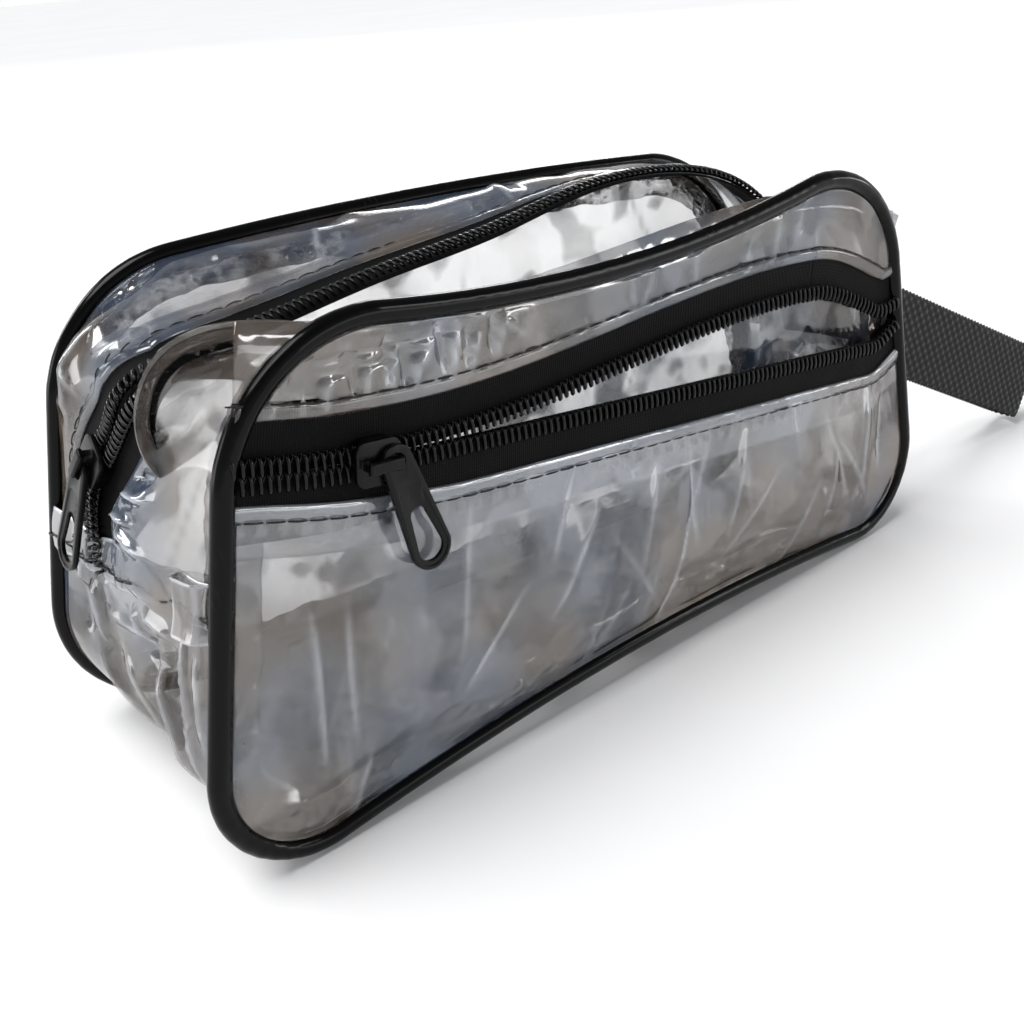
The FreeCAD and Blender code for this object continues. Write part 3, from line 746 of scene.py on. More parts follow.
# ---- rows made with Geometry Nodes
def build_row_tree():
    """Repeats one item along a line, standing on the line's own out direction."""
    tree = bpy.data.node_groups.new("row_along_line", "GeometryNodeTree")
    for label, way, kind in (("Line", "INPUT", "Geometry"), ("Item", "INPUT", "Object"),
                             ("Pitch", "INPUT", "Float"), ("Unevenness", "INPUT", "Float"),
                             ("Seed", "INPUT", "Int"), ("Material", "INPUT", "Material"),
                             ("Row", "OUTPUT", "Geometry")):
        tree.interface.new_socket(label, in_out=way, socket_type=f"NodeSocket{kind}")
    node = {label: tree.nodes.new(kind) for label, kind in (
        ("source", "NodeGroupInput"), ("sink", "NodeGroupOutput"),
        ("curve", "GeometryNodeMeshToCurve"), ("spread", "GeometryNodeResampleCurve"),
        ("outward", "GeometryNodeInputNamedAttribute"), ("ahead", "GeometryNodeInputTangent"),
        ("stand", "FunctionNodeAlignRotationToVector"),
        ("turn", "FunctionNodeAlignRotationToVector"), ("item", "GeometryNodeObjectInfo"),
        ("jitter", "FunctionNodeRandomValue"), ("low", "ShaderNodeMath"),
        ("high", "ShaderNodeMath"), ("place", "GeometryNodeInstanceOnPoints"),
        ("real", "GeometryNodeRealizeInstances"), ("paint", "GeometryNodeSetMaterial"))}
    node["spread"].mode = "LENGTH"
    node["outward"].data_type = "FLOAT_VECTOR"
    node["outward"].inputs["Name"].default_value = "out"
    node["stand"].axis = node["turn"].pivot_axis = "Z"
    node["turn"].axis = "X"
    node["jitter"].data_type = "FLOAT"
    for label, operation in (("low", "SUBTRACT"), ("high", "ADD")):
        node[label].operation = operation
        node[label].inputs[0].default_value = 1.0

    def only_number(sockets, name):
        return next(s for s in sockets if s.type == "VALUE" and s.name == name)

    links = [
        ("source", "Line", "curve", 0), ("curve", 0, "spread", "Curve"),
        ("source", "Pitch", "spread", "Length"), ("outward", 0, "stand", "Vector"),
        ("stand", 0, "turn", "Rotation"), ("ahead", 0, "turn", "Vector"),
        ("source", "Item", "item", "Object"), ("source", "Unevenness", "low", 1),
        ("source", "Unevenness", "high", 1), ("source", "Seed", "jitter", "Seed"),
        ("spread", 0, "place", "Points"), ("item", "Geometry", "place", "Instance"),
        ("turn", 0, "place", "Rotation"), ("place", 0, "real", 0), ("real", 0, "paint", "Geometry"),
        ("source", "Material", "paint", "Material"), ("paint", 0, "sink", "Row")]
    for start, output, end, taker in links:
        tree.links.new(node[start].outputs[output], node[end].inputs[taker])
    for label, name in (("low", "Min"), ("high", "Max")):
        tree.links.new(node[label].outputs[0], only_number(node["jitter"].inputs, name))
    tree.links.new(only_number(node["jitter"].outputs, "Value"), node["place"].inputs["Scale"])
    return tree


ROW = build_row_tree()


def row_along(name, line, outs, item, pitch, material, seed=1, unevenness=0.03):
    """One plain mesh of items repeated along a line in millimetres."""
    mesh = bpy.data.meshes.new(name + "_line")
    edges = [(i, i + 1) for i in range(len(line) - 1)]
    mesh.from_pydata((np.asarray(line) * MM).tolist(), edges, [])
    attribute = mesh.attributes.new("out", "FLOAT_VECTOR", "POINT")
    attribute.data.foreach_set("vector", np.asarray(outs, np.float32).ravel())
    carrier = put_in_scene(name + "_line", mesh)
    modifier = carrier.modifiers.new("row", "NODES")
    modifier.node_group = ROW
    sockets = {s.name: s.identifier for s in ROW.interface.items_tree if s.in_out == "INPUT"}
    for label, value in (("Item", item), ("Pitch", pitch * MM), ("Unevenness", unevenness),
                         ("Seed", seed), ("Material", material)):
        modifier[sockets[label]] = value
    evaluated = carrier.evaluated_get(bpy.context.evaluated_depsgraph_get())
    made = bpy.data.meshes.new_from_object(evaluated)
    made.name = name
    made.polygons.foreach_set("use_smooth", [True] * len(made.polygons))
    bpy.data.objects.remove(carrier)
    return put_in_scene(name, made)


def small_tube(name, line, radius, sides):
    """A template item for a row: a little closed-ended tube, in metres, kept out of the scene."""
    obj = tube(name, np.asarray(line, float), radius, THREAD, sides, up=(0.13, 0.21, 0.97))
    bpy.context.scene.collection.objects.unlink(obj)
    return obj


def coil_turn():
    """One turn of a coil: over the top, round the head and back under, a pitch further on.

    X runs along the chain, Y towards the tape edge, Z out of the tape.
    """
    turn = np.linspace(0, 2 * math.pi, 13)
    reach = COIL_WIDTH / 2 + 0.30
    rise = COIL_HEIGHT / 2 - 0.36
    side = np.cos(turn) * (reach + 0.12) - 0.42
    height = np.sin(turn) * rise + COIL_HEIGHT / 2
    along = (turn / (2 * math.pi) - 0.5) * COIL_PITCH
    return small_tube("coil_turn", np.stack([along, side, height], 1), 0.42, 6)


def stitch_item(length, radius, arch):
    """One stitch that dives into the film at both ends."""
    share = np.linspace(-1, 1, 7)
    line = np.stack([share * length / 2, np.zeros(7), arch * (1 - share**2) - radius * 0.6], 1)
    return small_tube("stitch", line, radius, 6)


COIL_TURN = coil_turn()
TOP_STITCH = stitch_item(STITCH_PITCH * 0.86, 0.17, 0.32)
END_STITCH = stitch_item(3.9, 0.26, 0.45)

def finish_piece(obj, body, nodes=()):
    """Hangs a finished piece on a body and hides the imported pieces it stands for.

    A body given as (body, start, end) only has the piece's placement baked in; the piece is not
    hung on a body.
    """
    if isinstance(body, tuple):
        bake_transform(obj)
    else:
        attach(obj, body)
    if nodes:
        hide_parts(*nodes)
    return obj


# ---- piping
def make_piping(which, seed):
    """A round bead with slight ripples where it bends, and the neck it is sewn in by."""
    line = ring(which, 0, 0, 1100)
    ripple = wander(line, 2.2, seed, 1) * 0.035 + wander(line, 14, seed + 3, 2) * 0.06
    ahead = unit(np.roll(line, -1, 0) - np.roll(line, 1, 0))
    bend = np.linalg.norm(np.roll(ahead, -4, 0) - np.roll(ahead, 4, 0), axis=1)
    radii = BEAD * 0.9 + ripple * (0.6 + 1.6 * smooth(bend / 0.25))
    bead = tube(f"{which}_piping_bead", line, radii, PIPING_SKIN, 20, closed=True)
    finish_piece(bead, "root", [f"{which}_piping"])
    make_flange(which, seed)


def make_flange(which, seed):
    """The flat lip of the piping, sewn between the panels inside the bead."""
    count = 700
    sign = 1 if which == "front" else -1
    outer = ring(which, 0, 0, count)
    wide = smooth((outer[:, 0] - 40) / 30) * smooth((outer[:, 2] - 20) / 30)
    reach = 3.2 + 2.2 * wide + wander(outer, 6, seed + 9, 3) * (0.7 + 1.7 * wide)
    into = unit(ring(which, float(BEAD), 0, count) - outer)
    rows = []
    for share in (0, 0.5, 1):
        inset = BEAD * 0.7 + (reach - BEAD * 0.7) * share
        rows.append(outer + into * inset[:, None] + np.array([0, 0.25 * sign, 0]))
    grid = np.stack(rows)
    grid = np.concatenate([grid, grid[:, :1]], 1)
    surface = np.zeros(grid.shape[:2] + (2,))
    surface[..., 0] = np.linspace(0, lengths(grid[0])[-1], count + 1)[None]
    surface[..., 1] = np.array([0, 1.6, 3.2])[:, None]
    lip = film(f"{which}_piping_lip", grid, 0.5, PIPING_SKIN, surface, flip=which == "front")
    finish_piece(lip, "root")


make_piping("front", 3)
make_piping("back", 8)


# ---- clear panels
def finish_film(name, grid, surface, folds, rng_seed, sway, flip, hem=None, nodes=(),
                thickness=FILM, edge_fade=5.0, material=None, shade=None):
    """Gives a sheet its sway and folds, fading to nothing at the sewn edges, and thickens it."""
    lift, mask = crumple(surface, folds)
    lift = lift + wander(grid, 26.0, rng_seed, 2) * sway
    rows, columns = grid.shape[:2]
    from_side = np.minimum.outer(np.minimum(np.arange(rows), np.arange(rows)[::-1]) / rows,
                                 np.full(columns, 1.0))
    from_end = np.minimum(np.arange(columns), np.arange(columns)[::-1])[None] / columns
    fade = smooth(from_side * rows / edge_fade) * smooth(from_end * columns / edge_fade)
    out = grid_normals(grid) * (-1 if flip else 1)
    shaped = grid + out * (lift * fade)[..., None]
    blank = np.zeros(mask.shape)
    # fold marks the crease crests, which the film paints pale: partly stress whitening, partly a
    # painted highlight. shade carries painted shade.
    marks = {"fold": mask * smooth(fade * 3), "hem": blank if hem is None else hem,
             "shade": blank if shade is None else shade}
    sheet = film(name, shaped, thickness, material or CLEAR, surface, marks, flip)
    return finish_piece(sheet, "root", nodes)


def panel_sides(half, heights, mark, count):
    """Left and right borders of a front sheet, between a corner's mark and two heights."""
    along = lengths(half)
    sides = []
    for sign, z in zip((-1, 1), heights):
        meets = along[np.argmax((half[:, 1] > z) & (half[:, 0] > 40))]
        part = at_lengths(half, np.linspace(min(mark, meets), max(mark, meets), count))
        sides.append(in_front(part * [sign, 1], -SHEET_FORWARD))
    return sides


FINE = 300
SHEET_FORWARD = 0.9


def front_lower_panel():
    """The sheet below the pocket zip: full at the bottom, drawn flat under the zip."""
    half = inwards(FRONT_HALF, SEAM - 0.6)
    low, _ = corner_marks(half)
    top = zip_line(-TAPE_SHOWN, False, FINE, SEAM - 0.6, forward=SHEET_FORWARD)
    base = at_lengths(half, np.linspace(0, low, 86))
    bottom = in_front(np.concatenate([mirrored(base)[::-1], base[1:]]), -SHEET_FORWARD)
    bottom = resample(bottom, FINE)
    grid = coons(bottom, top, *panel_sides(half, top[[0, -1], 2], low, 90))
    surface = np.stack([grid[..., 0], grid[..., 2]], -1)
    x, z = surface[..., 0], surface[..., 1]
    u = np.linspace(-1, 1, FINE)[None]
    v = np.linspace(0, 1, 90)[:, None]
    belly = 3.6 * (1 - u**4) * np.sin(math.pi * v**0.8) ** 1.2
    grid[..., 1] -= belly
    below = zip_height(x) + left_rise(x) + lower_edge_rise(x) - TAPE_SHOWN - z
    hem = smooth((HEM_DEPTH - below) / 0.5) * 0.55 + smooth((HEM_BAND - below) / 0.4) * 0.6
    rng = np.random.default_rng(5)
    folds = random_folds(rng, 26, (-95, 95), (12, 52), (18, 48), (80, 22), (1.6, 4.0), (0.3, 1.1))
    folds += [((-88, 62), (-92, 14), 2.2, -1.5), ((-80, 58), (-84, 18), 2.5, 1.1),
              ((92, 52), (86, 16), 2.4, -1.6), ((100, 50), (97, 20), 2.0, 1.4),
              ((70, 50), (84, 14), 3.0, 1.2), ((-40, 10), (60, 8.5), 2.4, 0.9)]
    pucker = np.sin(math.pi * x / STITCH_PITCH) ** 2 * np.exp(-((below - 4.6) / 1.7) ** 2)
    strong = 0.25 + 0.75 * np.abs(np.sin(x * 0.035 + 0.8))
    grid[..., 1] += pucker * 0.15 * strong
    # Dark drops below the stitches, where the film puckers: painted shade.
    drop = np.exp(-((below - 4.8) / 1.5) ** 2) * smooth((pucker / 0.9 - 0.45) / 0.3)
    shade = drop * smooth((strong - 0.35) / 0.3) * 0.8
    finish_film("pocket_lower_sheet", grid, surface, folds, 4, 0.5, True, hem=hem, shade=shade,
                nodes=["pocket_lower_panel"])


front_lower_panel()


def front_upper_panel():
    """The strip of sheet between the pocket zip and the top of the front piping."""
    half = inwards(FRONT_HALF, SEAM - 0.6)
    _, high = corner_marks(half)
    bottom = zip_line(TAPE_SHOWN, True, 170, SEAM - 0.6, forward=SHEET_FORWARD)
    crown = at_lengths(half, np.linspace(high, lengths(half)[-1], 86))
    top = in_front(np.concatenate([mirrored(crown), crown[::-1][1:]]), -SHEET_FORWARD)
    grid = coons(bottom, resample(top, 170), *panel_sides(half, bottom[[0, -1], 2], high, 40))
    surface = np.stack([grid[..., 0], grid[..., 2]], -1)
    x, z = surface[..., 0], surface[..., 1]
    above = z - (zip_height(x) + left_rise(x) + mouth_bow(x) + TAPE_SHOWN)
    hem = smooth((HEM_DEPTH - above) / 0.5) * 0.08
    rng = np.random.default_rng(9)
    folds = random_folds(rng, 16, (-85, 90), (86, 102), (8, 22), (85, 25), (1.2, 2.6), (0.3, 0.9))
    for k in range(9):
        foot = -91 + k * 6.6 + 1.4 * math.sin(k * 2.3)
        rise = 8.0 + 7.0 * abs(math.sin(k * 1.3))
        base = 92.0 - 0.05 * k
        folds.append(((foot, base - 2), (foot + 2.2 * math.sin(k * 1.9), base + rise), 1.3, 1.7))
        folds.append(((foot, base - 2), (foot + 3.3, base + rise * 0.7), 1.0, -1.2))
    folds += [((-92, 99), (-50, 97.5), 0.8, 0.8), ((-86, 101.5), (-40, 99.2), 0.7, 0.6)]
    pucker = np.sin(math.pi * x / STITCH_PITCH) ** 2 * np.exp(-((above - 4.0) / 1.8) ** 2)
    grid[..., 1] += pucker * 0.12
    finish_film("pocket_upper_sheet", grid, surface, folds, 11, 0.5, True, hem=hem,
                nodes=["pocket_upper_panel"], edge_fade=4.0)


front_upper_panel()


def whole_panel(name, which, inset, forward, depth, seed, folds, node, flip):
    """A panel that fills a whole outline, swollen by a depth in its middle."""
    half, place = HALVES[which]
    half = inwards(half, inset)
    low, high = corner_marks(half)
    total = lengths(half)[-1]
    base = at_lengths(half, np.linspace(0, low, 70))
    crown = at_lengths(half, np.linspace(high, total, 70))
    side = at_lengths(half, np.linspace(low, high, 80))
    bottom = resample(place(np.concatenate([mirrored(base)[::-1], base[1:]]), forward), 130)
    top = resample(place(np.concatenate([mirrored(crown), crown[::-1][1:]]), forward), 130)
    grid = coons(bottom, top, place(mirrored(side), forward), place(side, forward))
    u = np.linspace(-1, 1, 130)[None]
    v = np.linspace(-1, 1, 80)[:, None]
    grid[..., 1] += depth * (1 - u**6) * (1 - v**4)
    surface = np.stack([grid[..., 0], grid[..., 2]], -1)
    finish_film(name, grid, surface, folds, seed, 0.8, flip, nodes=[node], material=CLEAR_INSIDE)


rng = np.random.default_rng(21)
whole_panel("back_sheet", "back", SEAM - 0.6, 0.9, 2.5, 14,
            random_folds(rng, 30, (-95, 95), (15, 95), (20, 60), (80, 30), (2, 5), (0.4, 1.5)),
            "back_panel", False)
whole_panel("divider_sheet", "front", SEAM, 1.2, 6.5, 17,
            random_folds(rng, 24, (-90, 90), (15, 90), (20, 60), (75, 30), (2, 5), (0.3, 1.2)),
            "divider_panel", False)


# ---- gusset
def end_section(which, z_top, inset, forward, count):
    """The gusset's line at a piping: down the right end, along the base and up the left end."""
    half, place = HALVES[which]
    part = lower_half(inwards(half, inset), z_top)
    return place(resample(np.concatenate([part[::-1], mirrored(part)[1:]]), count), forward)


def middle_section(z_top, count, y):
    """The gusset's line where it rests on the ground, with wider corners."""
    part = lower_half(half_outline(MID_BASE_CORNER, 0, 0, 0.0), z_top)
    line = resample(np.concatenate([part[::-1], mirrored(part)[1:]]), count)
    return np.stack([line[:, 0], np.full(count, y), line[:, 1]], 1)


def gusset_surface(count, across):
    """The gusset's smooth form: row by row from the front seam to the back seam."""
    depth = -2 * FRONT_Y
    sections = [end_section("front", HEM_Z, 0.4, SEAM - 0.3, count),
                middle_section(HEM_Z, count, -depth / 5), middle_section(HEM_Z, count, depth / 10),
                end_section("back", HEM_Z, 0.4, -SEAM + 0.3, count)]
    places = np.array([0.0, 0.26, 0.53, 1.0])
    rows = []
    for share in np.linspace(0, 1, across):
        k = min(int(np.searchsorted(places, share, side="right")) - 1, 2)
        part = (share - places[k]) / (places[k + 1] - places[k])
        rows.append(sections[k] * (1 - part) + sections[k + 1] * part)
    grid = np.stack(rows)
    for _ in range(40):
        grid[1:-1] = (grid[:-2] + 2 * grid[1:-1] + grid[2:]) / 4
    return grid


LEFT_FOLDS = [
    ((7, 34), (15, 28.5), 2.6, 2.6), ((14, 29), (44, 9), 2.0, 3.4), ((1, 13), (40, 4.5), 1.5, 3.0),
    ((14, 51), (17.5, 32), 2.0, 2.2), ((7, 31), (9.5, 15), 1.6, 2.0), ((8, 56), (27, 54), 2.2, 2.4),
    ((8, 22), (34, 11), 2.6, -2.6), ((10, 44), (26, 24), 3.0, -2.4), ((20, 48), (48, 24), 2.4, 2.2),
    ((26, 60), (56, 40), 3.0, 2.0), ((24, 34), (54, 14), 2.0, -1.8), ((6, 8), (30, 3), 1.1, 1.4),
    ((30, 20), (66, 8), 2.2, 1.8), ((12, 66), (30, 62), 2.0, -1.6), ((44, 52), (80, 44), 3.0, 1.2),
    ((9, 39), (20, 33), 1.2, 1.3), ((5, 48), (14, 45), 1.4, 1.5), ((5, 62), (16, 65), 1.6, 1.4),
]


def lower_gusset():
    """One strip round both ends and the base, crumpled where it is gathered under the hems."""
    count, across = 520, 96
    grid = gusset_surface(count, across)
    total = lengths(grid[0])[-1]
    surface = np.zeros(grid.shape[:2] + (2,))
    surface[..., 0] = np.linspace(0, total, count)[None]
    surface[..., 1] = grid[..., 1] - grid[0, :, 1][None]
    z, x = grid[..., 2], grid[..., 0]
    v = np.linspace(0, 1, across)[:, None]
    end_share = smooth((z - 2) / 10) * smooth((HEM_Z - 6 - z) / 14)
    grid[..., 0] -= np.sign(x) * 2.6 * end_share * np.sin(math.pi * v) ** 1.5
    folds = []
    for (a0, b0), (a1, b1), width, height in LEFT_FOLDS:
        folds.append(((total - a0, b0), (total - a1, b1), width, height))
        folds.append(((a0 + 2, b0 * 0.62), (a1 - 1, b1 * 0.7 + 3), width, height * 0.8))
    return finish_film("gusset_sheet", grid, surface, folds, 23, 0.6, False,
                       nodes=["lower_gusset"], edge_fade=4.0, material=CLEAR_END)


def settle(obj, level):
    """Nothing goes below the surface the bag stands on."""
    for vertex in obj.data.vertices:
        vertex.co.z = max(vertex.co.z, level * MM)


settle(lower_gusset(), 0.1)


def end_wall(sign, y, z, proud):
    """A point on the straight end of the bag, a little outside its film."""
    x = sign * (half_width(z) + proud * math.cos(LEAN_ANGLE))
    return np.stack([x, y, z + proud * math.sin(LEAN_ANGLE)], -1)


def end_hem(label, sign, y_back, y_front, top_back, top_front, depth):
    """The doubled upper edge of the gusset on one end, with its wavy row of stitches."""
    count = 120
    share = np.linspace(0, 1, count)
    y = y_back + (y_front - y_back) * share
    top = top_back + (top_front - top_back) * share**1.6
    wave = 0.9 * np.sin(share * 17) + 0.6 * np.sin(share * 31 + 1)
    place = np.stack([y, top, top * 0], 1)
    ripple = wander(place, 7.0, 61, 2) * 1.3
    levels = np.linspace(0, 1, 22)[:, None]
    z = top[None] + wave[None] * 0.35 - levels * (depth + 1.5 + wave[None] * 0.5)
    proud = 1.0 + ripple[None] * (0.5 + levels) * 0.6 + 0.5 * np.sin(math.pi * levels)
    grid = end_wall(sign, np.repeat(y[None], 22, 0), z, proud)
    surface = np.stack([np.repeat(y[None], 22, 0), z], -1)
    # Pale crests along the hem's folded top and bottom edges: partly stress whitening, partly a
    # painted highlight.
    crest = np.zeros(z.shape)
    crest[:2] = 0.8
    crest[-2:] = 0.6
    hem = np.full(z.shape, 0.55)
    flip = turned_away(grid, np.array([sign, 0, 0]))
    obj = film(f"end_hem_{label}", grid, FILM, CLEAR_END, surface,
               {"fold": crest, "hem": hem}, flip)
    finish_piece(obj, "root")
    stitch_z = top + wave * 0.35 - depth * 0.86 + 0.5 * np.sin(share * 23)
    line = end_wall(sign, y, stitch_z, 1.7 + ripple * 0.6)
    out = np.repeat(np.array([[sign * math.cos(LEAN_ANGLE), 0, math.sin(LEAN_ANGLE)]]), count, 0)
    row = row_along(f"end_topstitch_{label}", line, out, END_STITCH, 4.2, THREAD, 71, 0.1)
    finish_piece(row, "root")


def corner_tuck():
    """The squared tube of doubled film where the hem meets the front piping at the zip end."""
    across = np.array([0, 0.6, 1.1, 2.0, 4.0, 6.5, 9.0, 10.6, 11.6, 12.2, 12.8])
    proud = np.array([0.8, 1.2, 2.6, 3.5, 3.8, 3.7, 3.8, 3.4, 2.6, 1.4, 0.8])
    fine = np.linspace(0, 12.8, 40)
    proud = np.interp(fine, across, proud)
    levels = np.linspace(0, 1, 30)
    y = FRONT_Y + SEAM + 0.3 + fine[None] + 0.5 * np.sin(levels * 5)[:, None]
    z = 66.0 - levels[:, None] * 11.5 - 0.14 * fine[None]
    stand = proud[None] * (1 - 0.25 * np.sin(math.pi * levels)[:, None])
    grid = end_wall(-1, np.broadcast_to(y, (30, 40)), np.broadcast_to(z, (30, 40)), stand)
    surface = np.stack(np.broadcast_arrays(y, z), -1)
    # Pale crests along the tuck's folded edges and corners: partly stress whitening, partly a
    # painted highlight.
    crest = np.zeros((30, 40))
    crest[:2] = crest[-2:] = 0.9
    crest[:, 4:7] = crest[:, 30:34] = 0.55
    hem = np.full((30, 40), 0.25)
    flip = turned_away(grid, np.array([-1, 0, 0]))
    obj = film("corner_tuck", grid, FILM, CLEAR_END, surface, {"fold": crest, "hem": hem}, flip)
    finish_piece(obj, "root")


end_hem("left", -1, 44.0, FRONT_Y + SEAM, 58.5, 66.5, 7.5)
end_hem("right", 1, 16.0, FRONT_Y + SEAM, 58.5, 60.0, 7.0)
corner_tuck()


# ---- main zip and top gusset
ZIP_UP = np.array(next(j["axis"] for j in frame["joints"] if j["name"] == "main_slider_run"))
ZIP_OUT = np.array(next(j["axis"] for j in frame["joints"] if j["name"] == "main_pull_swing"))
ZIP_ACROSS = np.cross(ZIP_OUT, ZIP_UP)
MAIN_PIVOT = np.array(next(j["pos_m"] for j in frame["joints"] if j["name"] == "main_pull_swing"))
HALF_LEG_SPACE = 3.1
SLIDER_AT = MAIN_PIVOT / MM + ZIP_UP * HALF_LEG_SPACE
STRAIGHT_RUN = 22.0
SLIDER_HALF = 5.0
BACK_LINE = [
    (-92, -1, 97.5), (-84, 0, 98), (-74, 1, 98.5), (-41, 0, 103), (-8, 0, 106), (16, -1, 110),
    (40, -1, 110.5), (58, -2, 108), (77, -3, 100), (91, -4, 86),
]
FRONT_LINE = [
    (-93, -9, 96.5), (-87, -14.5, 97.5), (-74, -16.5, 92), (-54, -16.5, 83), (-15, -16, 76),
    (15, -16, 76), (44, -15, 82), (64, -12, 94), (79, -9, 97), (91, -8, 86),
]


def chain_line(side, free_points, count=400):
    """The middle of one half of the chain, from under the left hem to under the right one."""
    offset = ZIP_ACROSS * (side * (HALF_GAP + COIL_WIDTH / 2))
    foot_z = HEM_Z - 5
    foot = np.array([-half_width(foot_z), SLIDER_AT[1] + 3, foot_z]) + offset
    below = SLIDER_AT - ZIP_UP * (SLIDER_HALF + 1) + offset
    above = SLIDER_AT + ZIP_UP * STRAIGHT_RUN + offset
    middle = (below + above) / 2
    last = np.array([half_width(HEM_Z - 4), -8 + 2 * side, HEM_Z - 4])
    return curve_through([foot, below, middle, above] + list(map(np.array, free_points)) + [last],
                         count)


def main_half(which, side, free_points):
    """Chain line, seam line, outward and sideways directions of one half of the main zip."""
    chain = chain_line(side, free_points)
    inward = (SEAM - 0.4) * (1 if which == "front" else -1)
    seam = over_top(which, HEM_Z - 4, 0.4, inward, len(chain))
    along = tangents(chain)
    out = unit(np.cross(along, seam - chain) * side)
    straight = smooth(1 - np.abs(np.arange(len(chain)) / len(chain) - 0.08) / 0.09)[:, None]
    out = unit(out * (1 - straight) + ZIP_OUT * straight)
    for _ in range(12):
        out = unit(np.concatenate([out[:1], (out[:-2] + out[1:-1] + out[2:]) / 3, out[-1:]]))
    across = unit(np.cross(out, along) * side)
    out = unit(np.cross(along, across) * side)
    return chain, seam, out, across


def ribbon_surface(chain, width_rows):
    """A sheet's own coordinates: length along the chain and distance across."""
    surface = np.zeros(width_rows.shape + (2,))
    surface[..., 0] = lengths(chain)[None]
    surface[..., 1] = width_rows
    return surface


def zip_tape(name, chain, out, across, near, far, body, nodes):
    """Woven tape from the coil's inner edge outwards."""
    shares = np.linspace(near, far, 12)
    grid = np.stack([chain + across * s + out * (TAPE_OUT / 2) for s in shares])
    surface = ribbon_surface(chain, np.repeat(shares[:, None], len(chain), 1))
    obj = film(name, grid, TAPE_OUT, TAPE, surface, flip=turned_away(grid, out))
    return finish_piece(obj, body, nodes)


def zip_coil(name, chain, out, along_sign, body, nodes, seed, phase=0.0):
    """Coil turns along the chain; their heads point away from the tape edge."""
    line = chain + out * COIL_OUT
    if along_sign < 0:
        line, out = line[::-1], out[::-1]
    line = at_lengths(line, np.linspace(phase, lengths(line)[-1], len(line)))
    obj = row_along(name, line, out, COIL_TURN, COIL_PITCH, COIL_NYLON, seed, 0.015)
    return finish_piece(obj, body, nodes)


def hem_strip(name, edge, out, across, body, depth, seed, pale_fold_and_highlight):
    """The folded edge of the sheet by the tape: a rounded fold and the layer turned under."""
    profile = [(HEM_BAND, 0.62), (HEM_BAND * 0.6, 0.78), (HEM_BAND * 0.3, 0.86), (0.1, 0.72),
               (-0.25, 0.4), (-0.25, 0.05), (0.1, -0.22), (HEM_BAND, -0.25), (depth * 0.6, -0.3),
               (depth, -0.35)]
    rise = wander(edge, 5.0, seed, 2) * 0.14
    grid = np.stack([edge + across * a + out * (b + rise[:, None] * (a > 0)) for a, b in profile])
    widths = np.repeat(np.array([a for a, b in profile])[:, None], len(edge), 1)
    surface = ribbon_surface(edge, widths)
    # The band round the fold is pale for the doubled film; the crest of the fold is pale as well,
    # partly stress whitening and partly a painted highlight.
    hem = np.zeros(grid.shape[:2])
    hem[:7] = 0.9 * pale_fold_and_highlight
    hem[7:] = 0.12
    marks = {"fold": np.zeros(hem.shape), "hem": hem}
    marks["fold"][3:5] = 0.75 * pale_fold_and_highlight
    flip = float((grid_normals(grid)[0] * out).sum()) < 0
    obj = film(name, grid, FILM * 0.8, CLEAR, surface, marks, flip)
    return finish_piece(obj, body)


def top_stitches(name, edge, out, across, body, seed):
    """The row of black topstitching beside a folded edge."""
    line = edge + across * HEM_BAND + out * 0.85
    obj = row_along(name, line, out, TOP_STITCH, STITCH_PITCH, THREAD, seed, 0.05)
    return finish_piece(obj, body)


def top_gusset_sheet(which, chain, seam, out, across, folds, seed, sway):
    """The clear strip between a piping and its half of the main zip."""
    rows = 36
    gap = np.linalg.norm(seam - chain, axis=1)
    shown = np.minimum(TAPE_SHOWN - 2, gap / 2)[:, None]
    edge = chain + across * shown + out * 0.9
    bulge = out * 2.0 * smooth((gap - 10) / 30)[:, None]
    grid = []
    for share in np.linspace(0, 1, rows):
        line = edge * (1 - share) + seam * share + bulge * math.sin(math.pi * share)
        grid.append(line)
    grid = np.stack(grid)
    widths = np.linalg.norm(grid - grid[:1], axis=-1)
    surface = ribbon_surface(chain, widths)
    hem = smooth((HEM_DEPTH - widths) / 0.6) * 0.2
    ease = (edge - seam) / np.maximum(gap, 1)[:, None]
    reach = np.minimum(7.5, gap * 0.4)[:, None]
    crumpled_band(f"top_allowance_{which}", seam + ease * reach - out * 1.1,
                  seam - out * 0.5, out, seed + 3, 12, 0.5)
    folds = folds(lengths(chain)[-1])
    finish_film(f"top_sheet_{which}", grid, surface, folds, seed, sway, turned_away(grid, out),
                hem=hem, nodes=[f"top_gusset_{which}"], edge_fade=3.5)
    return edge


def back_folds(total):
    rng = np.random.default_rng(31)
    folds = random_folds(rng, 16, (20, total - 30), (8, 32), (10, 30),
                         (60, 40), (1.5, 4), (0.3, 1.2))
    folds += [((18, 6), (60, 26), 3.0, 2.0), ((10, 14), (48, 30), 2.4, -1.6),
              ((30, 4), (52, 34), 2.2, 1.4)]
    return folds


def front_folds(total):
    rng = np.random.default_rng(37)
    folds = []
    place = 14.0
    while place < total - 12:
        size = rng.uniform(1.0, 2.6) * rng.choice([-1, 1])
        lean = rng.uniform(-4, 4)
        foot = (place + lean, rng.uniform(12, 26))
        folds.append(((place, 0.5), foot, rng.uniform(1.0, 2.2), size))
        place += rng.uniform(5.0, 10.0)
    return folds


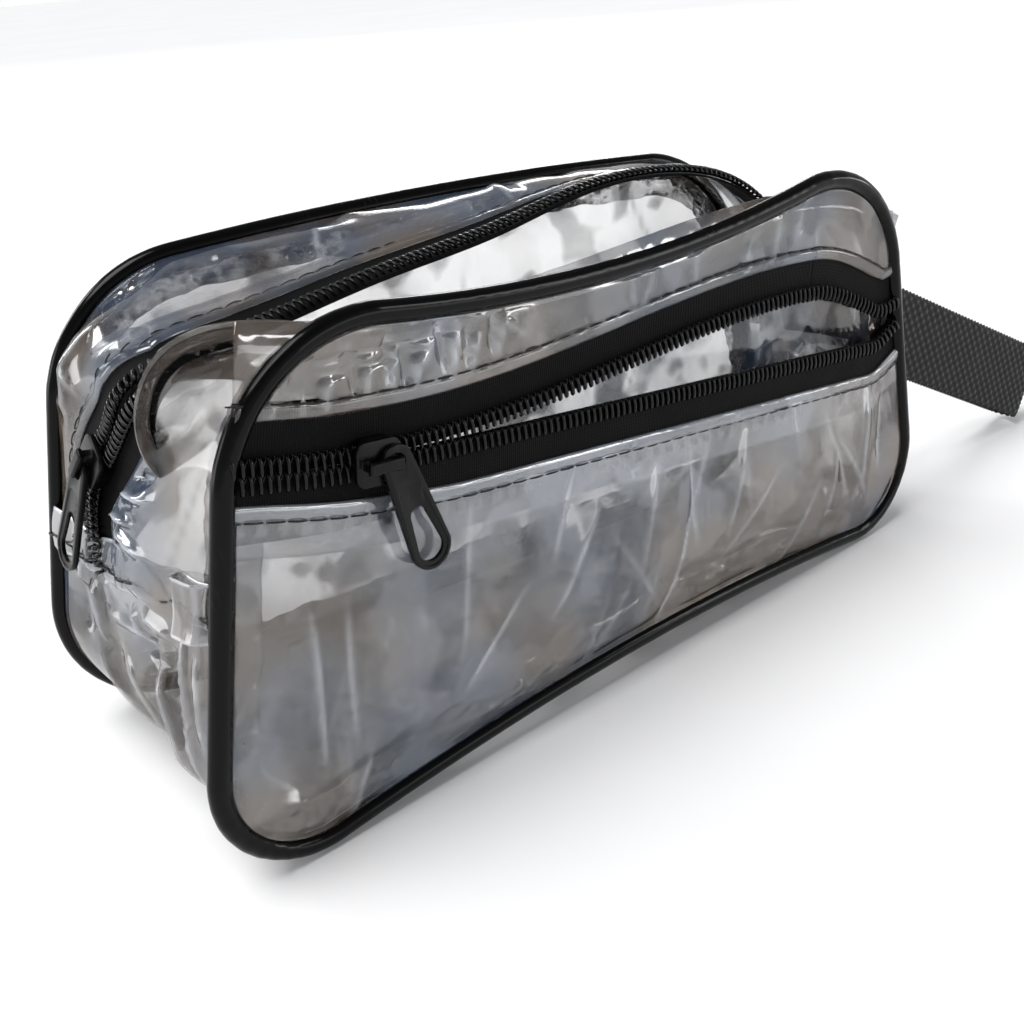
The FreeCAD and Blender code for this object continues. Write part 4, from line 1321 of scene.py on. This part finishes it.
# ---- seam allowances
def crumpled_band(name, inner, outer, out, seed, across_rows=14, rough=0.55):
    """The raw edges of the sheets inside a seam: a narrow, crackled, darker band of film, pale
    along its sharp crackle lines (partly a painted highlight) and with painted shade between them.
    """
    shares = np.linspace(0, 1, across_rows)[:, None, None]
    ragged = 1 + wander(outer, 12.0, seed, 3)[None, :, None] * 0.12
    grid = outer[None] + (inner - outer)[None] * shares * ragged
    width = np.linalg.norm(grid - grid[:1], axis=-1)
    crackle = np.abs(wander(grid * [1, 1, 1], 6.0, seed + 2, 3))
    crackle = crackle + 0.6 * np.abs(wander(grid, 2.4, seed + 5, 2))
    lift = (crackle - 0.35) * rough * 2.2 * smooth(width / 1.5)
    grid = grid + out[None] * lift[..., None]
    surface = ribbon_surface(outer, width)
    crest = np.exp(-(crackle / 0.09) ** 2) * 0.45
    dark = smooth((crackle - 0.42) / 0.25) * 0.8
    marks = {"fold": crest, "hem": crest * 0, "shade": dark}
    obj = film(name, grid, FILM, CLEAR_FLAP, surface, marks, turned_away(grid, out))
    return finish_piece(obj, "root")


def ring_allowance(which, sign, seed):
    """The allowance that runs right round a piping, flat behind its panel."""
    count = 620
    outer = ring(which, SEAM - 0.8, 1.5 * sign, count)
    inner = ring(which, SEAM + 6.4, 2.0 * sign, count)
    close = np.concatenate([outer, outer[:1]])
    close_in = np.concatenate([inner, inner[:1]])
    out = np.repeat(np.array([[0.0, -1.0 * sign, 0.0]]), len(close), 0)
    crumpled_band(f"{which}_seam_allowance", close_in, close, out, seed)


ring_allowance("front", 1, 51)
ring_allowance("back", -1, 57)


for which, side, points, folds, seed, sway in (
        ("back", 1, BACK_LINE, back_folds, 41, 0.9),
        ("front", -1, FRONT_LINE, front_folds, 47, 0.8)):
    chain, seam, out, across = main_half(which, side, points)
    zip_tape(f"main_tape_{which}", chain, out, across, -COIL_WIDTH / 2 - 0.5, TAPE_WIDTH - 2,
             "root", [f"main_zip_tape_{which}"])
    zip_coil(f"main_coil_{which}", chain, out, -side, "root", [f"main_zip_coil_{which}"], seed,
             0.0 if side > 0 else COIL_PITCH / 2)
    edge = top_gusset_sheet(which, chain, seam, out, across, folds, seed, sway)
    hem_strip(f"main_hem_{which}", edge - out * 0.5, out, across, "root", 9.0, seed, 0.08)
    top_stitches(f"main_topstitch_{which}", edge - out * 0.5, out, across, "root", seed)


# ---- pocket zip
def pocket_half(label, side, bowed, spans):
    """Tape, coil, folded edge and topstitching of one half of the pocket zip."""
    for part, body, start, end in spans:
        name = f"{label}_{part}" if part else label
        count = max(int(abs(end - start) * 1.6), 40)
        line = zip_line(side * (HALF_GAP + COIL_WIDTH / 2), bowed, count, span=(start, end))
        out = np.repeat(np.array([[0.0, -1.0, 0.0]]), count, 0)
        across = unit(np.cross(out, tangents(line))) * (1 if side > 0 else -1)
        if float(across[:, 2].sum()) * side < 0:
            across = -across
        zip_tape(f"pocket_tape_{name}", line, out, across, -COIL_WIDTH / 2 - HALF_GAP + 0.12,
                 TAPE_WIDTH - HALF_GAP - COIL_WIDTH / 2, body, [f"pocket_zip_tape_{label}"])
        zip_coil(f"pocket_coil_{name}", line, out, side, body, [f"pocket_zip_coil_{label}"], 3,
                 0.0 if side > 0 else COIL_PITCH / 2)
        edge = line + across * (TAPE_SHOWN - HALF_GAP - COIL_WIDTH / 2) + out * 0.45
        if side < 0:
            edge[:, 2] += lower_edge_rise(edge[:, 0])
        depth = HEM_DEPTH if side < 0 else HEM_DEPTH + 7
        hem_strip(f"pocket_hem_{name}", edge, out, across, body, depth, side + 5,
                  0.6 if side < 0 else 0.06)
        top_stitches(f"pocket_topstitch_{name}", edge, out, across, body, side + 7)


left_x, right_x = side_of_zip(0, False, SEAM - 1.5)
pocket_half("lower", -1, False, [("", "root", left_x, right_x)])
left_x, right_x = side_of_zip(0, True, SEAM - 1.5)
LEFT_BEND = ("pocket_mouth_edge", MOUTH_START, MOUTH_PEAK)
RIGHT_BEND = ("pocket_mouth_edge", MOUTH_END, MOUTH_PEAK)
pocket_half("upper", 1, True, [("left", LEFT_BEND, left_x, MOUTH_PEAK),
                               ("right", RIGHT_BEND, MOUTH_PEAK, right_x)])


# ---- sliders and pull tabs
def softened_metal(node, body, edge):
    """A cast piece with its doubles merged and its edges rounded over."""
    mesh = bpy.data.objects[node].data.copy()
    mesh.name = f"{node}_cast"
    obj = put_in_scene(f"{node}_cast", mesh)
    work = bmesh.new()
    work.from_mesh(mesh)
    bmesh.ops.remove_doubles(work, verts=work.verts, dist=0.01 * MM)
    bmesh.ops.dissolve_limit(work, angle_limit=math.radians(4), verts=work.verts, edges=work.edges)
    work.to_mesh(mesh)
    work.free()
    mesh.materials.clear()
    mesh.materials.append(ENAMEL)
    bevel = obj.modifiers.new("worn_edge", "BEVEL")
    bevel.width = edge * MM
    bevel.segments = 2
    bevel.limit_method = "ANGLE"
    bevel.angle_limit = math.radians(35)
    evaluated = obj.evaluated_get(bpy.context.evaluated_depsgraph_get())
    final = bpy.data.meshes.new_from_object(evaluated)
    final.polygons.foreach_set("use_smooth", [True] * len(final.polygons))
    obj.modifiers.clear()
    obj.data = final
    return finish_piece(obj, body, [node])


for part, body, edge in (("slider", "slider", 0.35), ("pull_tab", "pull", 0.3)):
    for zip_name in ("main", "pocket"):
        softened_metal(f"{zip_name}_{part}", f"{zip_name}_zip_{body}", edge)


# ---- wrist strap
STRAP_ROOT = np.array(next(j["pos_m"] for j in frame["joints"] if j["name"] == "strap_swing")) / MM
STRAP_DROP = math.radians(26)
STRAP_ALONG = np.array([math.cos(STRAP_DROP), 0, -math.sin(STRAP_DROP)])
STRAP_WIDE = np.array([math.sin(STRAP_DROP), 0, math.cos(STRAP_DROP)])
STRAP_LENGTH = 112.0
STRAP_WIDTH = 25.0
STRAP_THICK = 1.4
STRAP_FOLD = 4.9
WEAVE_PITCH = 2.05


def strap_path(count):
    """Middle line of the webbing in its own plane: out on one side, round the fold and back."""
    inner = STRAP_FOLD - STRAP_THICK / 2
    centre = STRAP_LENGTH - STRAP_FOLD
    turn = np.linspace(-math.pi / 2, math.pi / 2, 30)
    fold_line = np.stack([centre + inner * np.cos(turn), inner * np.sin(turn)], 1)
    close = STRAP_THICK / 2 + 0.05
    outward = [(0.4, -close), (6, -close), (14, -close - 0.15), (40, -1.6), (75, -3.0), (96, -3.9)]
    line = outward + fold_line.tolist() + [(a, -b) for a, b in outward[::-1]]
    return curve_through(line, count)


def wrist_strap():
    """Folded webbing with every crossing of its weave raised."""
    rows, columns = 500, 54
    line = strap_path(rows)
    along = tangents(line)
    face = np.stack([along[:, 1], -along[:, 0]], 1)
    v = np.linspace(-1, 1, columns)
    length = lengths(line)
    scallop = 0.22 * np.sin(2 * math.pi * length / WEAVE_PITCH)

    def build(sign):
        across = v[None] * (STRAP_WIDTH / 2 - 0.25)
        across = across + np.sign(v)[None] * scallop[:, None] * (np.abs(v)[None] ** 20)
        u_turns = math.pi * length[:, None] / WEAVE_PITCH
        v_turns = math.pi * (across * 1.0) / (WEAVE_PITCH * 0.78)
        weave = np.sin(u_turns) * np.sin(v_turns)
        raised = np.where(weave > 0, np.abs(weave) ** 0.7 * 0.42, weave * 0.2)
        edge = 1 - np.abs(v[None]) ** 14
        height = (STRAP_THICK / 2 - 0.30) * np.sqrt(np.clip(edge, 0, 1)) + raised * edge
        plane = line[:, None] + face[:, None] * (height * sign)[..., None]
        points = (STRAP_ROOT + plane[..., :1] * STRAP_ALONG + plane[..., 1:] * np.array([0, 1, 0])
                  + across[..., None] * STRAP_WIDE)
        # crown marks the raised crossings; the material gives them a painted highlight and a
        # smoother finish.
        crown = np.clip(weave, 0, 1) ** 0.8
        return points, crown, across

    outer, outer_crown, across = build(1)
    inner, inner_crown, _ = build(-1)
    points = np.concatenate([outer.reshape(-1, 3), inner.reshape(-1, 3)])
    uv = np.stack([np.repeat(length[:, None], columns, 1), across], -1).reshape(-1, 2)
    crown = np.concatenate([outer_crown.ravel(), inner_crown.ravel()])
    obj = make_object("wrist_strap_webbing", points, sheet_faces(rows, columns), WEBBING,
                      np.concatenate([uv, uv]), {"crown": crown})
    work = bmesh.new()
    work.from_mesh(obj.data)
    bmesh.ops.recalc_face_normals(work, faces=work.faces)
    work.to_mesh(obj.data)
    work.free()
    finish_piece(obj, "strap", ["wrist_strap"])


wrist_strap()


# ---- floor, camera and light
def make_floor():
    """A wide pale floor."""
    mesh = bpy.data.meshes.new("floor")
    reach = 12.0
    corners = [(-reach, -reach, 0), (reach, -reach, 0), (reach, reach, 0), (-reach, reach, 0)]
    mesh.from_pydata(corners, [], [(0, 1, 2, 3)])
    floor = put_in_scene("floor", mesh)
    material, wire, shader = start_material("pale_floor")
    place = wire.node("ShaderNodeTexCoord").outputs["Object"]
    shade = wire.span(wire.noise(place, 3.0), 0.3, 0.7)
    wire.put(wire.mix(shade, grey(0.90), grey(0.93)), shader.inputs["Base Color"])
    shader.inputs["Roughness"].default_value = 0.9
    mesh.materials.append(material)


def make_camera():
    """Stands off the zip-slider end, above the pocket side."""
    turn, height, roll = map(math.radians, (-38.37, 25.79, -4.72))
    back = np.array([math.sin(turn) * math.cos(height), -math.cos(turn) * math.cos(height),
                     math.sin(height)])
    right = np.array([math.cos(turn), math.sin(turn), 0])
    up = np.cross(back, right)
    right, up = (right * math.cos(roll) + up * math.sin(roll),
                 up * math.cos(roll) - right * math.sin(roll))
    data = bpy.data.cameras.new("camera")
    data.lens = 41.07
    data.sensor_width = 36.0
    data.clip_start, data.clip_end = 0.01, 60.0
    camera = put_in_scene("camera", data)
    matrix = np.eye(4)
    matrix[:3, 0], matrix[:3, 1], matrix[:3, 2] = right, up, back
    matrix[:3, 3] = -0.17593, -0.20966, 0.16493
    camera.matrix_world = matrix.T.tolist()
    bpy.context.scene.camera = camera


def area_light(name, place, aim_height, size, power):
    data = bpy.data.lights.new(name, "AREA")
    data.shape = "RECTANGLE"
    data.size, data.size_y = size
    data.energy = power
    light = put_in_scene(name, data)
    light.location = place
    aim = Vector((0, 0, aim_height)) - Vector(place)
    light.rotation_euler = aim.to_track_quat("-Z", "Y").to_euler()


def make_light():
    """A soft sky, one broad soft key, and panels and strips that give the film its glints."""
    world = bpy.data.worlds.new("studio")
    bpy.context.scene.world = world
    world.use_nodes = True
    wire = Wiring(world.node_tree)
    background = next(n for n in world.node_tree.nodes if n.type == "BACKGROUND")
    direction = wire.node("ShaderNodeTexCoord").outputs["Generated"]
    height = wire.node("ShaderNodeSeparateXYZ", Vector=direction).outputs["Z"]
    sky = wire.mix(wire.span(height, 0.0, 0.7), (0.62, 0.64, 0.67, 1), (0.16, 0.16, 0.17, 1))
    seen = wire.node("ShaderNodeLightPath").outputs["Is Camera Ray"]
    wire.put(wire.mix(seen, sky, (1.0, 1.0, 1.0, 1)), background.inputs["Color"])
    background.inputs["Strength"].default_value = 1.0
    sun = bpy.data.lights.new("key", "SUN")
    sun.energy = 2.75
    sun.angle = math.radians(40)
    key = put_in_scene("key", sun)
    key.rotation_euler = Vector((-0.35, 0.1, 1.0)).to_track_quat("Z", "Y").to_euler()
    for name, place, aim_height, size, power in (
            ("glint_front", (1.6, -1.6, 0.9), 0.05, (0.22, 1.1), 6),
            ("panel_front", (1.3, -2.1, 0.25), 0.05, (1.5, 0.8), 7),
            ("panel_end", (-1.9, 1.5, 0.5), 0.05, (0.9, 1.0), 9),
            ("glint_low", (2.2, -1.0, 0.35), 0.05, (0.9, 0.12), 5),
            ("glint_back", (-0.7, 2.0, 0.9), 0.05, (0.22, 1.0), 9),
            ("glint_top", (1.7, 1.9, 0.8), 0.1, (0.9, 0.22), 8)):
        area_light(name, place, aim_height, size, power)


make_floor()
make_camera()
make_light()
bpy.context.scene.view_settings.view_transform = "Standard"
bpy.context.scene.cycles.transparent_max_bounces = 48
